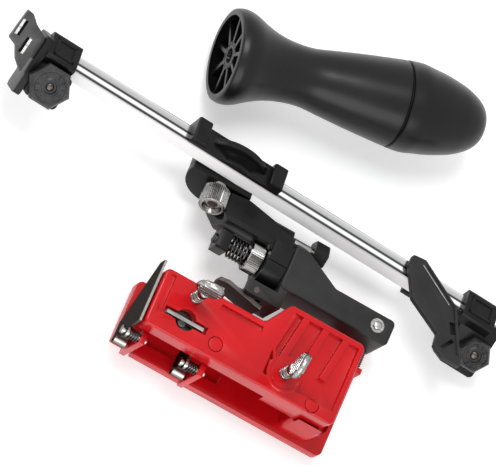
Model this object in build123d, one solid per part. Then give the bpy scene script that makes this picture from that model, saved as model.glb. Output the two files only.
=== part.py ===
"""Bar mounted chainsaw sharpener, laid on its back on a table with its handle beside it.

Millimetres. X runs along the clamp plates towards the hinge pin, Y is the plates' up
when the tool is in use, and Z points out of the front plate, up from the table.
Everything is drawn in the clamp's own frame, where the front plate's face is Z = 0,
its left edge is X = 0 and its low top edge is Y = 0, and is moved to the part's frame
at the end: the origin is the middle of the whole part's footprint, on the table.
"""
from build123d import *
from math import cos, sin, radians, sqrt, pi
import os

# Clearances and overrun
fitGap = 0.05
seatGap = 0.2
cutOver = 1.0

# Clamp: front plate
plateLength = 89.5
plateDrop = 25.5
plateRise = 12.0
notchStart = 46.7
notchEnd = 54.2
faceThick = 4.2
flangeDeep = 9.0
wallThick = 2.4
cornerRound = 2.6
edgeRound = 1.1
lipStart = 60.7
lipDeep = 14.0
grooveX, grooveWide, grooveTop, grooveBottom, grooveDeep = 3.9, 2.2, -1.8, -18.5, 1.4
ledgeStart, ledgeDrop, ledgeWide, ledgeDeep = 27.0, 2.6, 2.6, 1.8
pocketLeft, pocketFoot, pocketDeep, pocketRim = 53.6, -8.5, 2.6, 2.6
ribCount, ribWide, ribPitch, ribLean, ribFirst, ribLong = 3, 3.0, 9.4, 9.0, 60.6, 21.0
markRadius, markDeep = 3.2, 0.35
markSpots = ((31.0, -19.3), (78.0, -22.0))

# Clamp: rear plate, end block and hinge lug
clampGap = 20.0
rearThick = 6.0
rearLeft, rearRight = -1.0, 98.2
rearDrop = 29.0
rearTop = 0.5
rearPocketDeep, rearRim = 2.4, 3.0
blockLeft, blockRight = 76.0, 91.0
lugLeft, lugTop = 84.0, 32.0
rearStepLong, rearStepHigh = 10.0, 1.8

# Thumb screws
thumbSpots = ((15.8, -6.0), (62.4, -15.8))
shankRadius = 2.4
bossRadius = 5.2
thumbTip = -12.0
headRadius, headThick, headCentre = 6.1, 3.0, 15.6
headRidges, ridgeDeep = 7, 0.3
padRadius, padThick = 3.6, 1.6
headTurns = (0.0, 78.0)

# Locating key in the cross opening
keyX, keyY = 15.7, -16.4
keySlotLong, keySlotWide, keyHole = 20.0, 3.6, 4.6
keyLong, keyThick, keyDeep = 17.0, 1.5, 5.0
keyStem, keyStemLong = 2.0, 18.0
washerRadius, washerThick = 4.8, 1.2

# Flaps, their pins and springs
flapXs = (-1.9, 25.6)
flapThick = 1.0
flapTops = (2.2, -14.0)
flapFronts = (-0.5, -10.0)
flapBack = -27.0
flapNeck, flapNeckSide = 5.4, 5.0
hookLong = 5.0
rollRadius, rollBore = 2.4, 1.4
flapPinY, flapPinZ, flapPinRadius, flapPinLong = -28.2, -12.5, 1.15, 9.5
flapSpringRadius, flapSpringWire, flapSpringTurns = 2.0, 0.55, 4
earThick = 2.4

# Swing arm and its hinge
armFront = -9.3
armBack = -28.6
armLow = 19.6
armHigh = 31.2
armPeak = 42.9
armSeam = 48.6
armShoulder = 54.0
armShoulderY = 39.8
armKneeX = 71.0
armEnd = 100.0
armWall = 3.0
armRound = 2.2
hingeX, hingeY = 92.9, 25.8
hingeRadius = 1.75
hingeHead, hingeHeadThick = 2.6, 0.8
bushRadius = 3.0
returnRadius, returnWire, returnTurns = 1.7, 0.5, 7
returnX, returnZ, returnLow = 96.2, -26.8, 12.0
seatLeft, seatTop, seatLong = 94.0, 10.8, 7.0

# Tooth stop under the arm
stopX, stopY, stopZ = 40.5, 13.8, -19.0
stopLong, stopTail, stopWide, stopThick = 14.0, 6.4, 12.0, 1.4
stopLean, stopHub = 11.5, 3.2
stopPinRadius = 1.25
forkLeft, forkRight = 36.0, 52.6
forkLow, forkTop = 11.4, 17.2
forkWide = 18.0

# Tilting column and head
tiltY, tiltZ = 28.3, -19.0
tiltAngle = 15.0
columnRight = 48.3
columnLeft = 33.0
columnFront = -11.0
columnBack = -27.0
columnHumps = ((37.7, 46.0), (40.0, 44.3))
columnPivot = 9.0
headX, headY, headZ = 10.9, 48.7, -19.0
tableRadius, tableThick, tableFront = 14.0, 2.6, 3.2
studRadius = 2.1
studLeft, studRight = 17.5, 58.0
squareSide, squareLong = 9.0, 5.5
coilRadius, coilWire, coilTurns = 4.3, 0.9, 5
nutRadius, nutLong = 6.35, 6.5
coilStart = 24.4
knurlCount, knurlDeep = 36, 0.35
clampKnobX, clampKnobY, clampKnobZ = 58.5, 44.6, -22.0
clampBoss, clampBossLong = 4.0, 10.3
armCrown = 14.4
clampKnobRadius, clampKnobLong = 5.6, 6.5
clampScrewRadius = 2.0

# Swivel guide on top of the head
swivelTurn = 3.7
barSide = 8.0
barForward = 7.0
barLift = 6.8
guideGap = 0.12
ringRadius, ringThick, lipRadius, lipThick = 18.0, 2.6, 14.0, 2.3
ringLift = 8.0
guideTop = 2.4
frontWall = 1.6
lugSpans = ((-23.1, -16.6), (14.4, 20.8))
lugReach = 5.0
lugFoot = 3.0
ringTeeth, toothLong, toothWide = 26, 1.2, 0.7
boltRadius = 2.1
boltHeadRadius, boltHeadThick = 3.6, 2.2
lockRadius, lockLong, lockBore, lockBoreDeep = 5.75, 9.0, 3.4, 1.8
lockCollar, lockCollarLong = 3.6, 2.0

# Filing bar, measured from the swivel axis along the bar
barLeft, barRight = -92.8, 128.0
barRound = 0.7

# End brackets
sheathLeft, sheathRight = -93.0, -79.3
sheathSide = 13.4
sheathRound = 2.0
knobBossWide, knobBossHigh = 16.0, 9.0
leftKnobX, leftKnobRadius, leftKnobThick = -85.8, 9.4, 5.0
leftKnobLift, leftKnobDrop = 9.5, 10.0
rightKnobX, rightKnobRadius, rightKnobThick = 128.5, 7.5, 4.6
rightKnobLift, rightKnobDrop = 5.4, 12.4
knobScrewRadius = 2.2
knobDimple, knobDimpleDeep = 2.9, 1.2
endPlateThick, endPlateTop, endPlateLow, endPlateHigh = 3.0, 6.4, 20.4, 15.0
jawPoints = (
    (-108.3, 10.8),
    (-108.9, -2.7),
    (-104.9, -4.2),
    (-101.9, -8.7),
    (-97.2, -12.6),
    (-97.1, -4.8),
    (-96.3, 4.9),
    (-102.1, 7.7),
    (-105.5, 10.5),
)
jawThick, jawLift = 2.6, 2.0
jawSlots = ((-106.9, 3.5), (-101.6, -2.0))
jawSlotLong, jawSlotWide, jawStripWide = 7.0, 2.4, 1.1
jawTabLow, jawTabHigh = -5.0, 4.0
rightSheathLeft, rightSheathRight = 114.0, 129.0
rightBoxLeft, rightBoxRight = 117.0, 134.0
rightBoxTop, rightBoxLow, rightBoxBack = 1.6, 22.0, 7.0
paddlePoints = (
    (85.2, 6.0),
    (91.4, 6.9),
    (110.7, -5.6),
    (120.3, -31.1),
    (111.0, -31.4),
    (105.9, -28.5),
    (105.7, -22.4),
    (90.5, -13.5),
    (84.4, 0.8),
)
paddleThick = 2.6
tabLeft, tabTop = 90.0, 7.0
footLeft = 100.0
bracketScrews = ((-88.0, 0.0), (101.4, 5.5))
bracketScrewHead, bracketScrewThick, bracketScrewShank = 2.6, 1.6, 1.2
bracketScrewLong = 5.0

# Handle, lying beside the tool
gripStations = (0.0, 3.5, 8.0, 14.0, 20.0, 27.0, 36.0, 46.0, 57.0, 67.0, 76.7)
gripRadii = (19.3, 20.1, 19.2, 16.4, 14.2, 12.8, 12.4, 13.9, 15.7, 17.1, 18.4)
capStations = (77.3, 83.5, 89.0, 95.0, 101.0, 106.0, 111.0, 114.5, 116.5)
capRadii = (18.5, 18.9, 18.1, 17.1, 15.6, 13.9, 11.2, 7.8, 3.0)
seamInset = 1.2
gripWall = 2.6
cavityDeep = 26.0
ribsInMouth, mouthRibThick, mouthRibBack = 9, 1.6, 2.0
hubRadius, hubBore = 5.6, 3.2
socketRadius, socketLong, socketTeeth, socketToothDeep = 4.4, 22.0, 10, 0.3
handleX, handleY = -10.15, 98.95
handleTurn = 14.1

# Derived places
rearFace = -flangeDeep - clampGap
backFace = rearFace - rearThick
tableLevel = backFace
handleZ = tableLevel + max(gripRadii + capRadii)

tiltUp = (0, cos(radians(tiltAngle)), -sin(radians(tiltAngle)))
headFrame = Plane(origin=(headX, headY, headZ), x_dir=(1, 0, 0), z_dir=tiltUp)
guideFrame = Plane(headFrame.location * Rot(0, 0, swivelTurn))
barMiddle = guideFrame.from_local_coords((0, -barForward, barLift))
barFrame = Plane(origin=barMiddle, x_dir=guideFrame.x_dir, z_dir=guideFrame.z_dir)
knobAxis = -(barFrame.y_dir + barFrame.z_dir)
knobFrame = Plane(origin=barMiddle, x_dir=barFrame.x_dir, z_dir=knobAxis)
handleFrame = Plane(
    origin=(handleX, handleY, handleZ),
    x_dir=(sin(radians(handleTurn)), -cos(radians(handleTurn)), 0),
    z_dir=(cos(radians(handleTurn)), sin(radians(handleTurn)), 0),
)


def at(frame, shape, x=0, y=0, z=0):
    """Place a shape at a point of a frame."""
    return frame.location * Pos(x, y, z) * shape


def block(x0, x1, y0, y1, z0, z1):
    """A box from its two corners."""
    middle = Pos((x0 + x1) / 2, (y0 + y1) / 2, (z0 + z1) / 2)
    return middle * Box(x1 - x0, y1 - y0, z1 - z0)


def rod(radius, z0, z1, x=0, y=0):
    """A cylinder along Z between two heights."""
    return Pos(x, y, (z0 + z1) / 2) * Cylinder(radius, z1 - z0)


def rodX(radius, x0, x1, y, z):
    """A cylinder along X between two stations."""
    return Pos((x0 + x1) / 2, y, z) * Rot(0, 90, 0) * Cylinder(radius, x1 - x0)


def prism(points, z0, z1):
    """A closed outline pulled up from one height to another."""
    return Pos(0, 0, z0) * extrude(make_face(Polyline(*points, close=True)), z1 - z0)


def shrunk(points, wall, z0, z1):
    """The same outline, smaller by a wall all round."""
    inner = offset(make_face(Polyline(*points, close=True)), -wall, kind=Kind.INTERSECTION)
    return Pos(0, 0, z0) * extrude(inner, z1 - z0)


def hexPrism(radius, z0, z1):
    """A six sided prism with the given corner radius."""
    return Pos(0, 0, z0) * extrude(RegularPolygon(radius, 6), z1 - z0)


def knurled(radius, z0, z1, count, deep):
    """A round nut with straight knurls cut round it."""
    body = rod(radius, z0, z1)
    body = chamfer(body.edges().filter_by(GeomType.CIRCLE), deep)
    groove = Pos(radius, 0, (z0 + z1) / 2) * Rot(0, 0, 45) * Box(deep * 2, deep * 2, z1 - z0 + cutOver)
    cuts = [Rot(0, 0, i * 360 / count) * groove for i in range(count)]
    return body - Compound(cuts)


def helixPoint(radius, pitch, angle):
    """Point and direction on a helix round Z."""
    point = Vector(radius * cos(angle), radius * sin(angle), pitch * angle / (2 * pi))
    way = Vector(-radius * sin(angle), radius * cos(angle), pitch / (2 * pi)).normalized()
    return point, way


def coil(radius, wire, turns, length):
    """One unbroken wire wound round Z, as quarter turn biarcs, and its least gap."""
    pitch = (length - wire) / turns
    quarter = pi / 2
    path = []
    for i in range(turns * 4):
        p0, t0 = helixPoint(radius, pitch, i * quarter)
        p1, t1 = helixPoint(radius, pitch, (i + 1) * quarter)
        span = p1 - p0
        both = t0 + t1
        a = 2 * (1 - t0.dot(t1))
        b = 2 * span.dot(both)
        reach = (-b + sqrt(b * b + 4 * a * span.dot(span))) / (2 * a)
        joint = (p0 + p1 + (t0 - t1) * reach) / 2
        first = TangentArc(p0, joint, tangent=t0)
        path.append(first)
        path.append(TangentArc(joint, p1, tangent=first % 1))
    line = Wire(path)
    start = Plane(origin=line @ 0, z_dir=line % 0)
    spring = sweep(start * Circle(wire / 2), path=line)
    return Pos(0, 0, wire / 2) * spring, pitch * cos(pitch / (2 * pi * radius)) - wire


# Clamp plates
plateOutline = (
    (0, -plateDrop),
    (plateLength, -plateDrop),
    (plateLength, plateRise),
    (notchEnd, plateRise),
    (notchStart, 0),
    (0, 0),
)


def frontPlate():
    body = prism(plateOutline, -flangeDeep, 0)
    body = fillet(body.edges().filter_by(Axis.Z), cornerRound)
    body = fillet(body.faces().sort_by(Axis.Z)[-1].edges(), edgeRound)
    body -= shrunk(plateOutline, wallThick, -flangeDeep - cutOver, -faceThick)
    body += block(lipStart, plateLength - cornerRound, -plateDrop, -plateDrop + wallThick, -lipDeep, -flangeDeep)
    for x, y in thumbSpots:
        body += rod(bossRadius, -flangeDeep, -faceThick / 2, x, y)
    for y in screwRows():
        body += rod(bossRadius - wallThick / 2, -flangeDeep, -faceThick / 2, screwColumn(), y)
    grooveMid = (grooveTop + grooveBottom) / 2
    body -= Pos(grooveX, grooveMid, 0) * Box(grooveWide, grooveTop - grooveBottom, grooveDeep * 2)
    ledge = block(ledgeStart, notchStart, -ledgeDrop - ledgeWide, -ledgeDrop, -ledgeDeep, cutOver)
    body -= ledge
    body -= facePocket()
    body += facePocketRibs()
    for x, y in markSpots:
        ring = rod(markRadius, -pocketDeep - markDeep, cutOver, x, y)
        ring -= rod(markRadius - markDeep, -pocketDeep - cutOver, cutOver, x, y)
        body -= ring
    for x, y in thumbSpots:
        body -= rod(shankRadius + fitGap, -flangeDeep - cutOver, cutOver, x, y)
    body -= rod(keyHole, -faceThick - cutOver, cutOver, keyX, keyY)
    body -= block(keyX - keySlotLong / 2, keyX + keySlotLong / 2, keyY - keySlotWide / 2,
                  keyY + keySlotWide / 2, -faceThick - cutOver, cutOver)
    for y in screwRows():
        body -= rod(studRadius + fitGap, -flangeDeep - cutOver, -faceThick, screwColumn(), y)
    return body


def facePocket():
    """The sunk field of the right half of the face."""
    top = plateRise - pocketRim
    low = -plateDrop + pocketRim
    outline = (
        (pocketLeft, low + pocketRim),
        (plateLength - pocketRim, low + pocketRim),
        (plateLength - pocketRim, top),
        (notchEnd + pocketRim, top),
        (pocketLeft, pocketFoot),
    )
    sunk = prism(outline, -pocketDeep, cutOver)
    x, y = thumbSpots[1]
    return sunk - rod(bossRadius + wallThick, -faceThick, cutOver * 2, x, y)


def facePocketRibs():
    """Slanted ribs that stand in the sunk field."""
    ribs = None
    for i in range(ribCount):
        x = ribFirst + i * ribPitch
        rib = Pos(x, plateRise - pocketRim / 2 - ribLong / 2, -pocketDeep)
        bar = rib * Rot(0, 0, -ribLean) * Box(ribWide, ribLong, pocketDeep * 2)
        bar = bar & block(pocketLeft, plateLength - pocketRim / 2, -plateDrop + pocketRim * 2,
                          plateRise - pocketRim / 2, -faceThick + seatGap, -edgeRound / 4)
        bar -= rod(bossRadius, -flangeDeep, cutOver, *thumbSpots[1])
        ribs = bar if ribs is None else ribs + bar
    return ribs


def screwRows():
    """Heights of the two screws that hold the plates together."""
    return (-plateDrop + bossRadius * 1.5, plateRise - bossRadius)


def screwColumn():
    return (blockLeft + plateLength) / 2


def rearPlate():
    outline = (
        (rearLeft, -rearDrop),
        (rearRight, -rearDrop),
        (rearRight, lugTop),
        (lugLeft, lugTop),
        (lugLeft, plateRise),
        (notchEnd, plateRise),
        (notchStart, rearTop),
        (rearLeft, rearTop),
    )
    body = prism(outline, backFace, rearFace)
    body = fillet(body.edges().filter_by(Axis.Z), cornerRound)
    body = fillet(body.faces().sort_by(Axis.Z)[0].edges(), edgeRound)
    body -= block(rearLeft + rearRim, notchStart, -rearDrop + rearRim * 2, rearTop - rearRim,
                  rearFace - rearPocketDeep, rearFace + cutOver)
    body -= block(rearLeft - cutOver, rearLeft + rearStepLong, -rearDrop - cutOver,
                  -rearDrop + rearStepHigh, backFace - cutOver, rearFace + cutOver)
    endBlock = block(blockLeft, blockRight, -rearDrop + wallThick, plateRise - wallThick,
                     rearFace - rearThick / 2, -flangeDeep)
    body += fillet(endBlock.edges().filter_by(Axis.Z), cornerRound)
    body -= block(blockLeft - cutOver, plateLength + cutOver, -plateDrop - cutOver,
                  -plateDrop + wallThick + seatGap, -lipDeep - seatGap, -flangeDeep + cutOver)
    body += block(seatLeft, rearRight, seatTop - wallThick, seatTop, rearFace - rearThick / 2,
                  rearFace + seatLong)
    for x in flapXs:
        body += block(earStart(x), earStart(x) + earThick, flapPinY - earThick, flapPinY + rearRim,
                      rearFace - rearThick / 2, flapPinZ + earThick)
    for x in flapXs:
        body -= rodX(flapPinRadius + fitGap, x - cutOver, x + flapPinLong, flapPinY, flapPinZ)
    body -= rod(hingeRadius + fitGap, backFace - cutOver, rearFace + cutOver, hingeX, hingeY)
    for y in screwRows():
        body -= rod(studRadius + fitGap, backFace - cutOver, cutOver, screwColumn(), y)
        body -= rod(boltHeadRadius + fitGap, backFace - cutOver, backFace + boltHeadThick + seatGap,
                    screwColumn(), y)
    return body


def earStart(x):
    """Where the ear that carries a flap's pin begins."""
    return x + flapThick + flapPinLong / 2 + seatGap * 2


def plateScrews():
    screws = []
    for y in screwRows():
        screw = rod(studRadius, backFace + boltHeadThick, -faceThick - cutOver, screwColumn(), y)
        screw += rod(boltHeadRadius, backFace + seatGap, backFace + boltHeadThick + seatGap, screwColumn(), y)
        screws.append(screw)
    return Compound(screws)


def thumbScrew(spot, turn):
    """Threaded shank with a ridged round head that the fingers turn."""
    x, y = spot
    body = rod(shankRadius, thumbTip, headCentre, x, y)
    disc = Rot(90, 0, 0) * Cylinder(headRadius, headThick)
    disc = fillet(disc.edges(), headThick / 4)
    pitch = 2 * headRadius / (headRidges + 1)
    for i in range(headRidges):
        height = (i + 1) * pitch - headRadius
        for side in (-1, 1):
            groove = Pos(0, side * headThick / 2, height) * Box(headRadius * 2, ridgeDeep * 2, pitch / 3)
            disc -= groove
    body += Pos(x, y, headCentre) * Rot(0, 0, turn) * disc
    return body


def pressurePad(spot):
    x, y = spot
    body = rod(padRadius, thumbTip - padThick, thumbTip + padThick / 2, x, y)
    body -= rod(shankRadius + fitGap, thumbTip, thumbTip + padThick, x, y)
    return body


def locatingKey():
    blade = block(keyX - keyLong / 2, keyX + keyLong / 2, keyY - keyThick / 2, keyY + keyThick / 2,
                  -keyDeep, -edgeRound / 2)
    return blade + rod(keyStem, -keyDeep - keyStemLong / 2, -keyDeep + cutOver, keyX, keyY)


def keyWasher():
    top = -keyDeep - seatGap / 2
    ring = rod(washerRadius, top - washerThick, top, keyX, keyY)
    return ring - rod(keyStem + fitGap, top - washerThick - cutOver, top + cutOver, keyX, keyY)


# Flaps
def flap(x, top, front):
    """Spring-steel leaf with a rolled hook, and a loop round its pin."""
    hookZ = flapBack + rollRadius
    outline = (
        (front, top),
        (front - flapNeck, top),
        (flapBack, flapPinY + rollRadius + flapNeckSide),
        (flapBack, flapPinY),
        (front, flapPinY + rollRadius),
    )
    leaf = Pos(x, 0, 0) * Rot(0, 90, 0) * prism([(-z, y) for z, y in outline], 0, flapThick)
    hook = rodX(rollRadius, x - seatGap, x + hookLong, flapPinY, hookZ)
    loop = rodX(rollRadius, x, x + flapThick, flapPinY, flapPinZ)
    bridge = block(x, x + flapThick, flapPinY, flapPinY + rollRadius * 2, hookZ, flapPinZ)
    body = leaf + bridge + hook + loop
    body -= rodX(rollBore, x - cutOver, x + hookLong + cutOver, flapPinY, hookZ)
    body -= rodX(flapPinRadius + fitGap, x - cutOver, x + flapThick + cutOver, flapPinY, flapPinZ)
    return body


def flapPin(x):
    start = x - flapThick
    pin = rodX(flapPinRadius, start, start + flapPinLong + flapThick, flapPinY, flapPinZ)
    return pin + rodX(flapPinRadius + rollRadius / 4, start - flapThick, start, flapPinY, flapPinZ)


def flapSpring(x):
    start = x + flapThick + seatGap
    spring, gap = coil(flapSpringRadius, flapSpringWire, flapSpringTurns, flapPinLong / 2)
    print("flap spring least gap", round(gap, 2))
    return Pos(start, flapPinY, flapPinZ) * Rot(0, 90, 0) * spring


# Swing arm
armOutline = (
    (armSeam, armLow),
    (armEnd, armLow),
    (armEnd, armHigh),
    (armKneeX, armHigh),
    (armShoulder, armShoulderY),
    (armSeam, armPeak),
)


def swingArm():
    body = prism(armOutline, armBack, armFront)
    tall = body.edges().filter_by(Axis.Z)
    body = fillet(tall, armRound)
    body = fillet(body.faces().sort_by(Axis.Z)[-1].edges(), edgeRound)
    hollow = shrunk(armOutline, armWall, armBack - cutOver, armFront - armWall)
    hollow -= block(hingeX - bushRadius * 2, armEnd, armLow, armHigh, armBack - cutOver, armFront)
    hollow -= rodX(studRadius * 2, armSeam, armShoulder + armWall, tiltY, tiltZ)
    body -= hollow
    body -= armTop() - rodX(armCrown, armSeam - cutOver, clampKnobX + seatGap, tiltY, tiltZ)
    body += stopFork()
    body -= rod(bushRadius + fitGap, armBack - cutOver, armFront + cutOver, hingeX, hingeY)
    body -= rodX(studRadius + fitGap, armSeam - cutOver, studRight + cutOver, tiltY, tiltZ)
    body -= rod(stopPinRadius + fitGap, armBack - cutOver, armFront + cutOver, stopX, stopY)
    return body


def armTop():
    """The arm's end above the stud, which is rounded so that the clamp screw can pass over it."""
    return block(armSeam - cutOver, clampKnobX + seatGap, tiltY, armPeak + armCrown,
                 armBack - armCrown, armFront + armCrown)


def stopFork():
    """Two cheeks under the column that carry the tooth stop, joined to the arm's end."""
    back, front = stopZ - forkWide / 2, stopZ + forkWide / 2
    fork = block(forkLeft, forkRight, forkLow, forkTop, back, front)
    fork = fillet(fork.edges().filter_by(Axis.Z).sort_by(Axis.X)[:2], armRound / 2)
    fork += block(armSeam + seatGap * 2, forkRight, forkTop, armLow + armRound, back, front)
    return fork - block(forkLeft - cutOver, stopX + stopHub + cutOver, forkLow - cutOver, forkTop + cutOver,
                        stopZ - stopWide / 2 - seatGap, stopZ + stopWide / 2 + seatGap)


def hingePin():
    pin = rod(hingeRadius, backFace + cutOver, armFront + hingeHeadThick, hingeX, hingeY)
    return pin + rod(hingeHead, armFront + seatGap, armFront + seatGap + hingeHeadThick, hingeX, hingeY)


def hingeBush():
    body = rod(bushRadius, armBack + seatGap, armFront, hingeX, hingeY)
    return body - rod(hingeRadius + fitGap, armBack - cutOver, armFront + cutOver, hingeX, hingeY)


def returnSpring():
    """Coil under the arm's end; it lands on the rear plate's seat when the arm is down."""
    spring, gap = coil(returnRadius, returnWire, returnTurns, armLow - returnLow)
    print("return spring least gap", round(gap, 2))
    return Pos(returnX, armLow, returnZ) * Rot(90, 0, 0) * spring


def springPost():
    long = armLow - returnLow - returnRadius
    return Pos(returnX, armLow - long / 2, returnZ) * Rot(90, 0, 0) * Cylinder(returnRadius - returnWire, long)


def toothStop():
    """Steel blade under a hub; its tip stops the chain's tooth."""
    half = stopWide / 2
    outline = (
        (-stopLong, -half / 2),
        (-stopLong, half / 2),
        (-stopLong + stopHub, half),
        (stopTail, half),
        (stopTail, -half),
        (-stopLong + stopHub, -half),
    )
    blade = Rot(90, 0, 0) * prism(outline, stopHub - stopThick / 4, stopHub + stopThick)
    body = blade + rod(stopHub, -half, half) - rod(stopPinRadius + fitGap, -stopWide, stopWide)
    return Pos(stopX, stopY, stopZ) * Rot(0, 0, -stopLean) * body


def stopPin():
    return rod(stopPinRadius, stopZ - forkWide / 2, stopZ + forkWide / 2, stopX, stopY)


# Tilting column and head
def column():
    """Curved casting that carries the round head, bolted to the arm's end."""
    outline = (
        (columnRight, tiltY - columnPivot),
        (columnLeft + nutLong, tiltY - columnPivot),
        (columnLeft + nutLong, tiltY + nutRadius),
        (headX + tableRadius / 2, tiltY + nutRadius),
        (headX - tableRadius / 2, headY - tableThick),
        (headX + tableRadius, headY),
        *columnHumps,
        (columnRight, armPeak),
    )
    body = prism(outline, columnBack, columnFront)
    body = fillet(body.edges().filter_by(Axis.Z), armRound)
    body -= block(columnLeft, columnRight + cutOver, 0, tiltY, armBack, armFront)
    root = block(columnLeft + nutLong, columnRight, tiltY, armPeak, armBack, armFront)
    body += fillet(root.edges().filter_by(Axis.X).sort_by(Axis.Y)[-2:], armRound * 2)
    body += rodX(columnPivot, columnLeft + nutLong, columnRight, tiltY, tiltZ)
    body += rodX(clampBoss, columnRight - clampBossLong, columnRight, clampKnobY, clampKnobZ)
    body -= at(headFrame, block(-tableRadius * 2, tableRadius * 4, -tableRadius * 3, tableRadius * 3,
                                tableThick, tableRadius * 2))
    body -= at(headFrame, block(-tableRadius * 2, tableRadius * 3, -tableRadius * 3, -tableFront,
                                -lockLong * 1.5, tableRadius))
    disc = rod(tableRadius, 0, tableThick)
    disc -= block(-tableRadius * 2, tableRadius * 2, -tableRadius * 2, -tableFront, -cutOver, tableThick * 2)
    body += at(headFrame, disc)
    body -= at(headFrame, rod(lockRadius + seatGap * 2, -lockLong * 2, 0))
    body -= at(headFrame, rod(boltRadius + fitGap, -cutOver, tableThick + cutOver))
    body -= rodX(studRadius + fitGap, headX, columnRight + cutOver, tiltY, tiltZ)
    body -= rodX(nutRadius + seatGap, headX - tableRadius, columnLeft + nutLong, tiltY, tiltZ)
    body -= rodX(clampScrewRadius + fitGap, columnRight - clampKnobLong, columnRight + cutOver,
                 clampKnobY, clampKnobZ)
    return body


def tiltStud():
    return rodX(studRadius, studLeft, studRight, tiltY, tiltZ)


def squareNut():
    body = Pos(studLeft + squareLong / 2 + cutOver, tiltY, tiltZ) * Box(squareLong, squareSide, squareSide)
    body = fillet(body.edges().filter_by(Axis.X), edgeRound)
    return body - rodX(studRadius + fitGap, studLeft - cutOver, studRight, tiltY, tiltZ)


def tiltSpring():
    spring, gap = coil(coilRadius, coilWire, coilTurns, columnLeft - coilStart - seatGap)
    print("tilt spring least gap", round(gap, 2))
    return Pos(coilStart, tiltY, tiltZ) * Rot(0, 90, 0) * spring


def knurledNut():
    body = knurled(nutRadius, 0, nutLong - seatGap, knurlCount, knurlDeep)
    body -= rod(studRadius + fitGap, -cutOver, nutLong + cutOver)
    return Pos(columnLeft, tiltY, tiltZ) * Rot(0, 90, 0) * body


def tiltKnob():
    body = hexPrism(clampKnobRadius, 0, clampKnobLong)
    body = chamfer(body.faces().sort_by(Axis.Z)[-1].edges(), edgeRound / 2)
    return Pos(clampKnobX, clampKnobY, clampKnobZ) * Rot(0, 90, 0) * body


def tiltClampScrew():
    return rodX(clampScrewRadius, columnRight - clampKnobLong + seatGap, clampKnobX, clampKnobY, clampKnobZ)


# Swivel guide
def guide():
    """Round guide with an angle ring; the square bar slides through it, held by two lugs."""
    half = barSide / 2 + guideGap
    top = barLift + half + guideTop
    low = tableThick + guideGap
    hub = rod(tableRadius - seatGap, low, top)
    hub -= block(-ringRadius, ringRadius, -ringRadius, -tableFront / 2, low - cutOver, barLift - half + cutOver)
    ring = rod(ringRadius, ringLift, ringLift + ringThick)
    ring -= block(-ringRadius * 2, ringRadius * 2, 0, ringRadius * 2, 0, top * 2)
    lip = rod(lipRadius, barLift - half, barLift - half + lipThick)
    lip -= block(-ringRadius * 2, ringRadius * 2, 0, ringRadius * 2, -cutOver, top)
    leftEnd = lugSpans[0][0]
    rightEnd = lugSpans[1][1]
    wallFront = barForward + half + frontWall
    wall = block(leftEnd, rightEnd, -wallFront, -barForward - half, barLift - half, top)
    roof = block(leftEnd, rightEnd, -wallFront, 0, barLift + half, top)
    body = hub + ring + lip + wall + roof
    for x0, x1 in lugSpans:
        lug = block(x0, x1, -barForward - half - lugReach, -barForward - half, lugFoot, top)
        body += fillet(lug.edges().filter_by(Axis.Z).sort_by(Axis.Y)[:2], edgeRound)
    for i in range(ringTeeth):
        turn = -90 + (i - (ringTeeth - 1) / 2) * 90 / ringTeeth
        reach = ringRadius - toothLong
        tooth = Pos(reach * cos(radians(turn)), reach * sin(radians(turn)), ringLift)
        body -= tooth * Rot(0, 0, turn) * Box(toothLong * 2, toothWide / 2, toothWide / 2)
    body -= block(leftEnd - cutOver, rightEnd + cutOver, -barForward - half, -barForward + half,
                  -cutOver, barLift + half)
    body -= rod(boltRadius + fitGap, 0, top + cutOver)
    body -= rod(boltHeadRadius + seatGap, top - boltHeadThick / 2, top + cutOver)
    return at(guideFrame, body)


def swivelBolt():
    half = barSide / 2 + guideGap
    top = barLift + half + guideTop
    bolt = rod(boltRadius, -lockLong - lockCollarLong + lockBoreDeep, top)
    return at(guideFrame, bolt + rod(boltHeadRadius, top - boltHeadThick / 2, top + boltHeadThick / 2))


def lockKnob():
    """Knurled nut under the head with a short collar above it."""
    low = -lockCollarLong - lockLong
    body = knurled(lockRadius, low, -lockCollarLong, knurlCount, knurlDeep)
    body += rod(lockCollar, -lockCollarLong, -guideGap)
    body -= rod(lockBore, low - cutOver, low + lockBoreDeep)
    return at(guideFrame, body - rod(boltRadius + fitGap, low, cutOver))


# Filing bar and brackets
def filingBar():
    bar = block(barLeft, barRight, -barSide / 2, barSide / 2, -barSide / 2, barSide / 2)
    return at(barFrame, fillet(bar.edges().filter_by(Axis.X), barRound))


def sheath(x0, x1):
    """Plastic sleeve with the bar's square hole."""
    body = block(x0, x1, -sheathSide / 2, sheathSide / 2, -sheathSide / 2, sheathSide / 2)
    return fillet(body.edges().filter_by(Axis.X), sheathRound)


def barHole():
    half = barSide / 2 + fitGap
    return at(barFrame, block(barLeft - seatGap, barRight + seatGap, -half, half, -half, half))


def screwHoles():
    """Holes for the set screws that hold the brackets on the bar, from above."""
    holes = [rod(bracketScrewShank + fitGap, bracketTop(y) - bracketScrewLong, tabTop + cutOver, x, y)
             for x, y in bracketScrews]
    return at(barFrame, Compound(holes))


def bracketTop(y):
    """Height of the face that a set screw's head sits on."""
    return tabTop if y > 0 else sheathSide / 2


def leftBracket():
    body = at(barFrame, sheath(sheathLeft, sheathRight))
    boss = block(sheathLeft, leftKnobX + knobBossWide / 2, -leftKnobDrop - knobBossWide / 2, -sheathSide / 4,
                 -knobBossHigh, leftKnobLift - seatGap)
    body += at(knobFrame, fillet(boss.edges().filter_by(Axis.Z), sheathRound))
    plate = block(sheathLeft - endPlateThick, sheathLeft, -endPlateLow, endPlateTop,
                  -endPlateHigh / 2, endPlateHigh / 2)
    body += at(knobFrame, fillet(plate.edges().filter_by(Axis.X), sheathRound))
    body -= barHole() + screwHoles()
    return body - at(knobFrame, rod(knobScrewRadius + fitGap, -knobBossHigh - cutOver, leftKnobLift + cutOver,
                                    leftKnobX, -leftKnobDrop))


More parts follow.
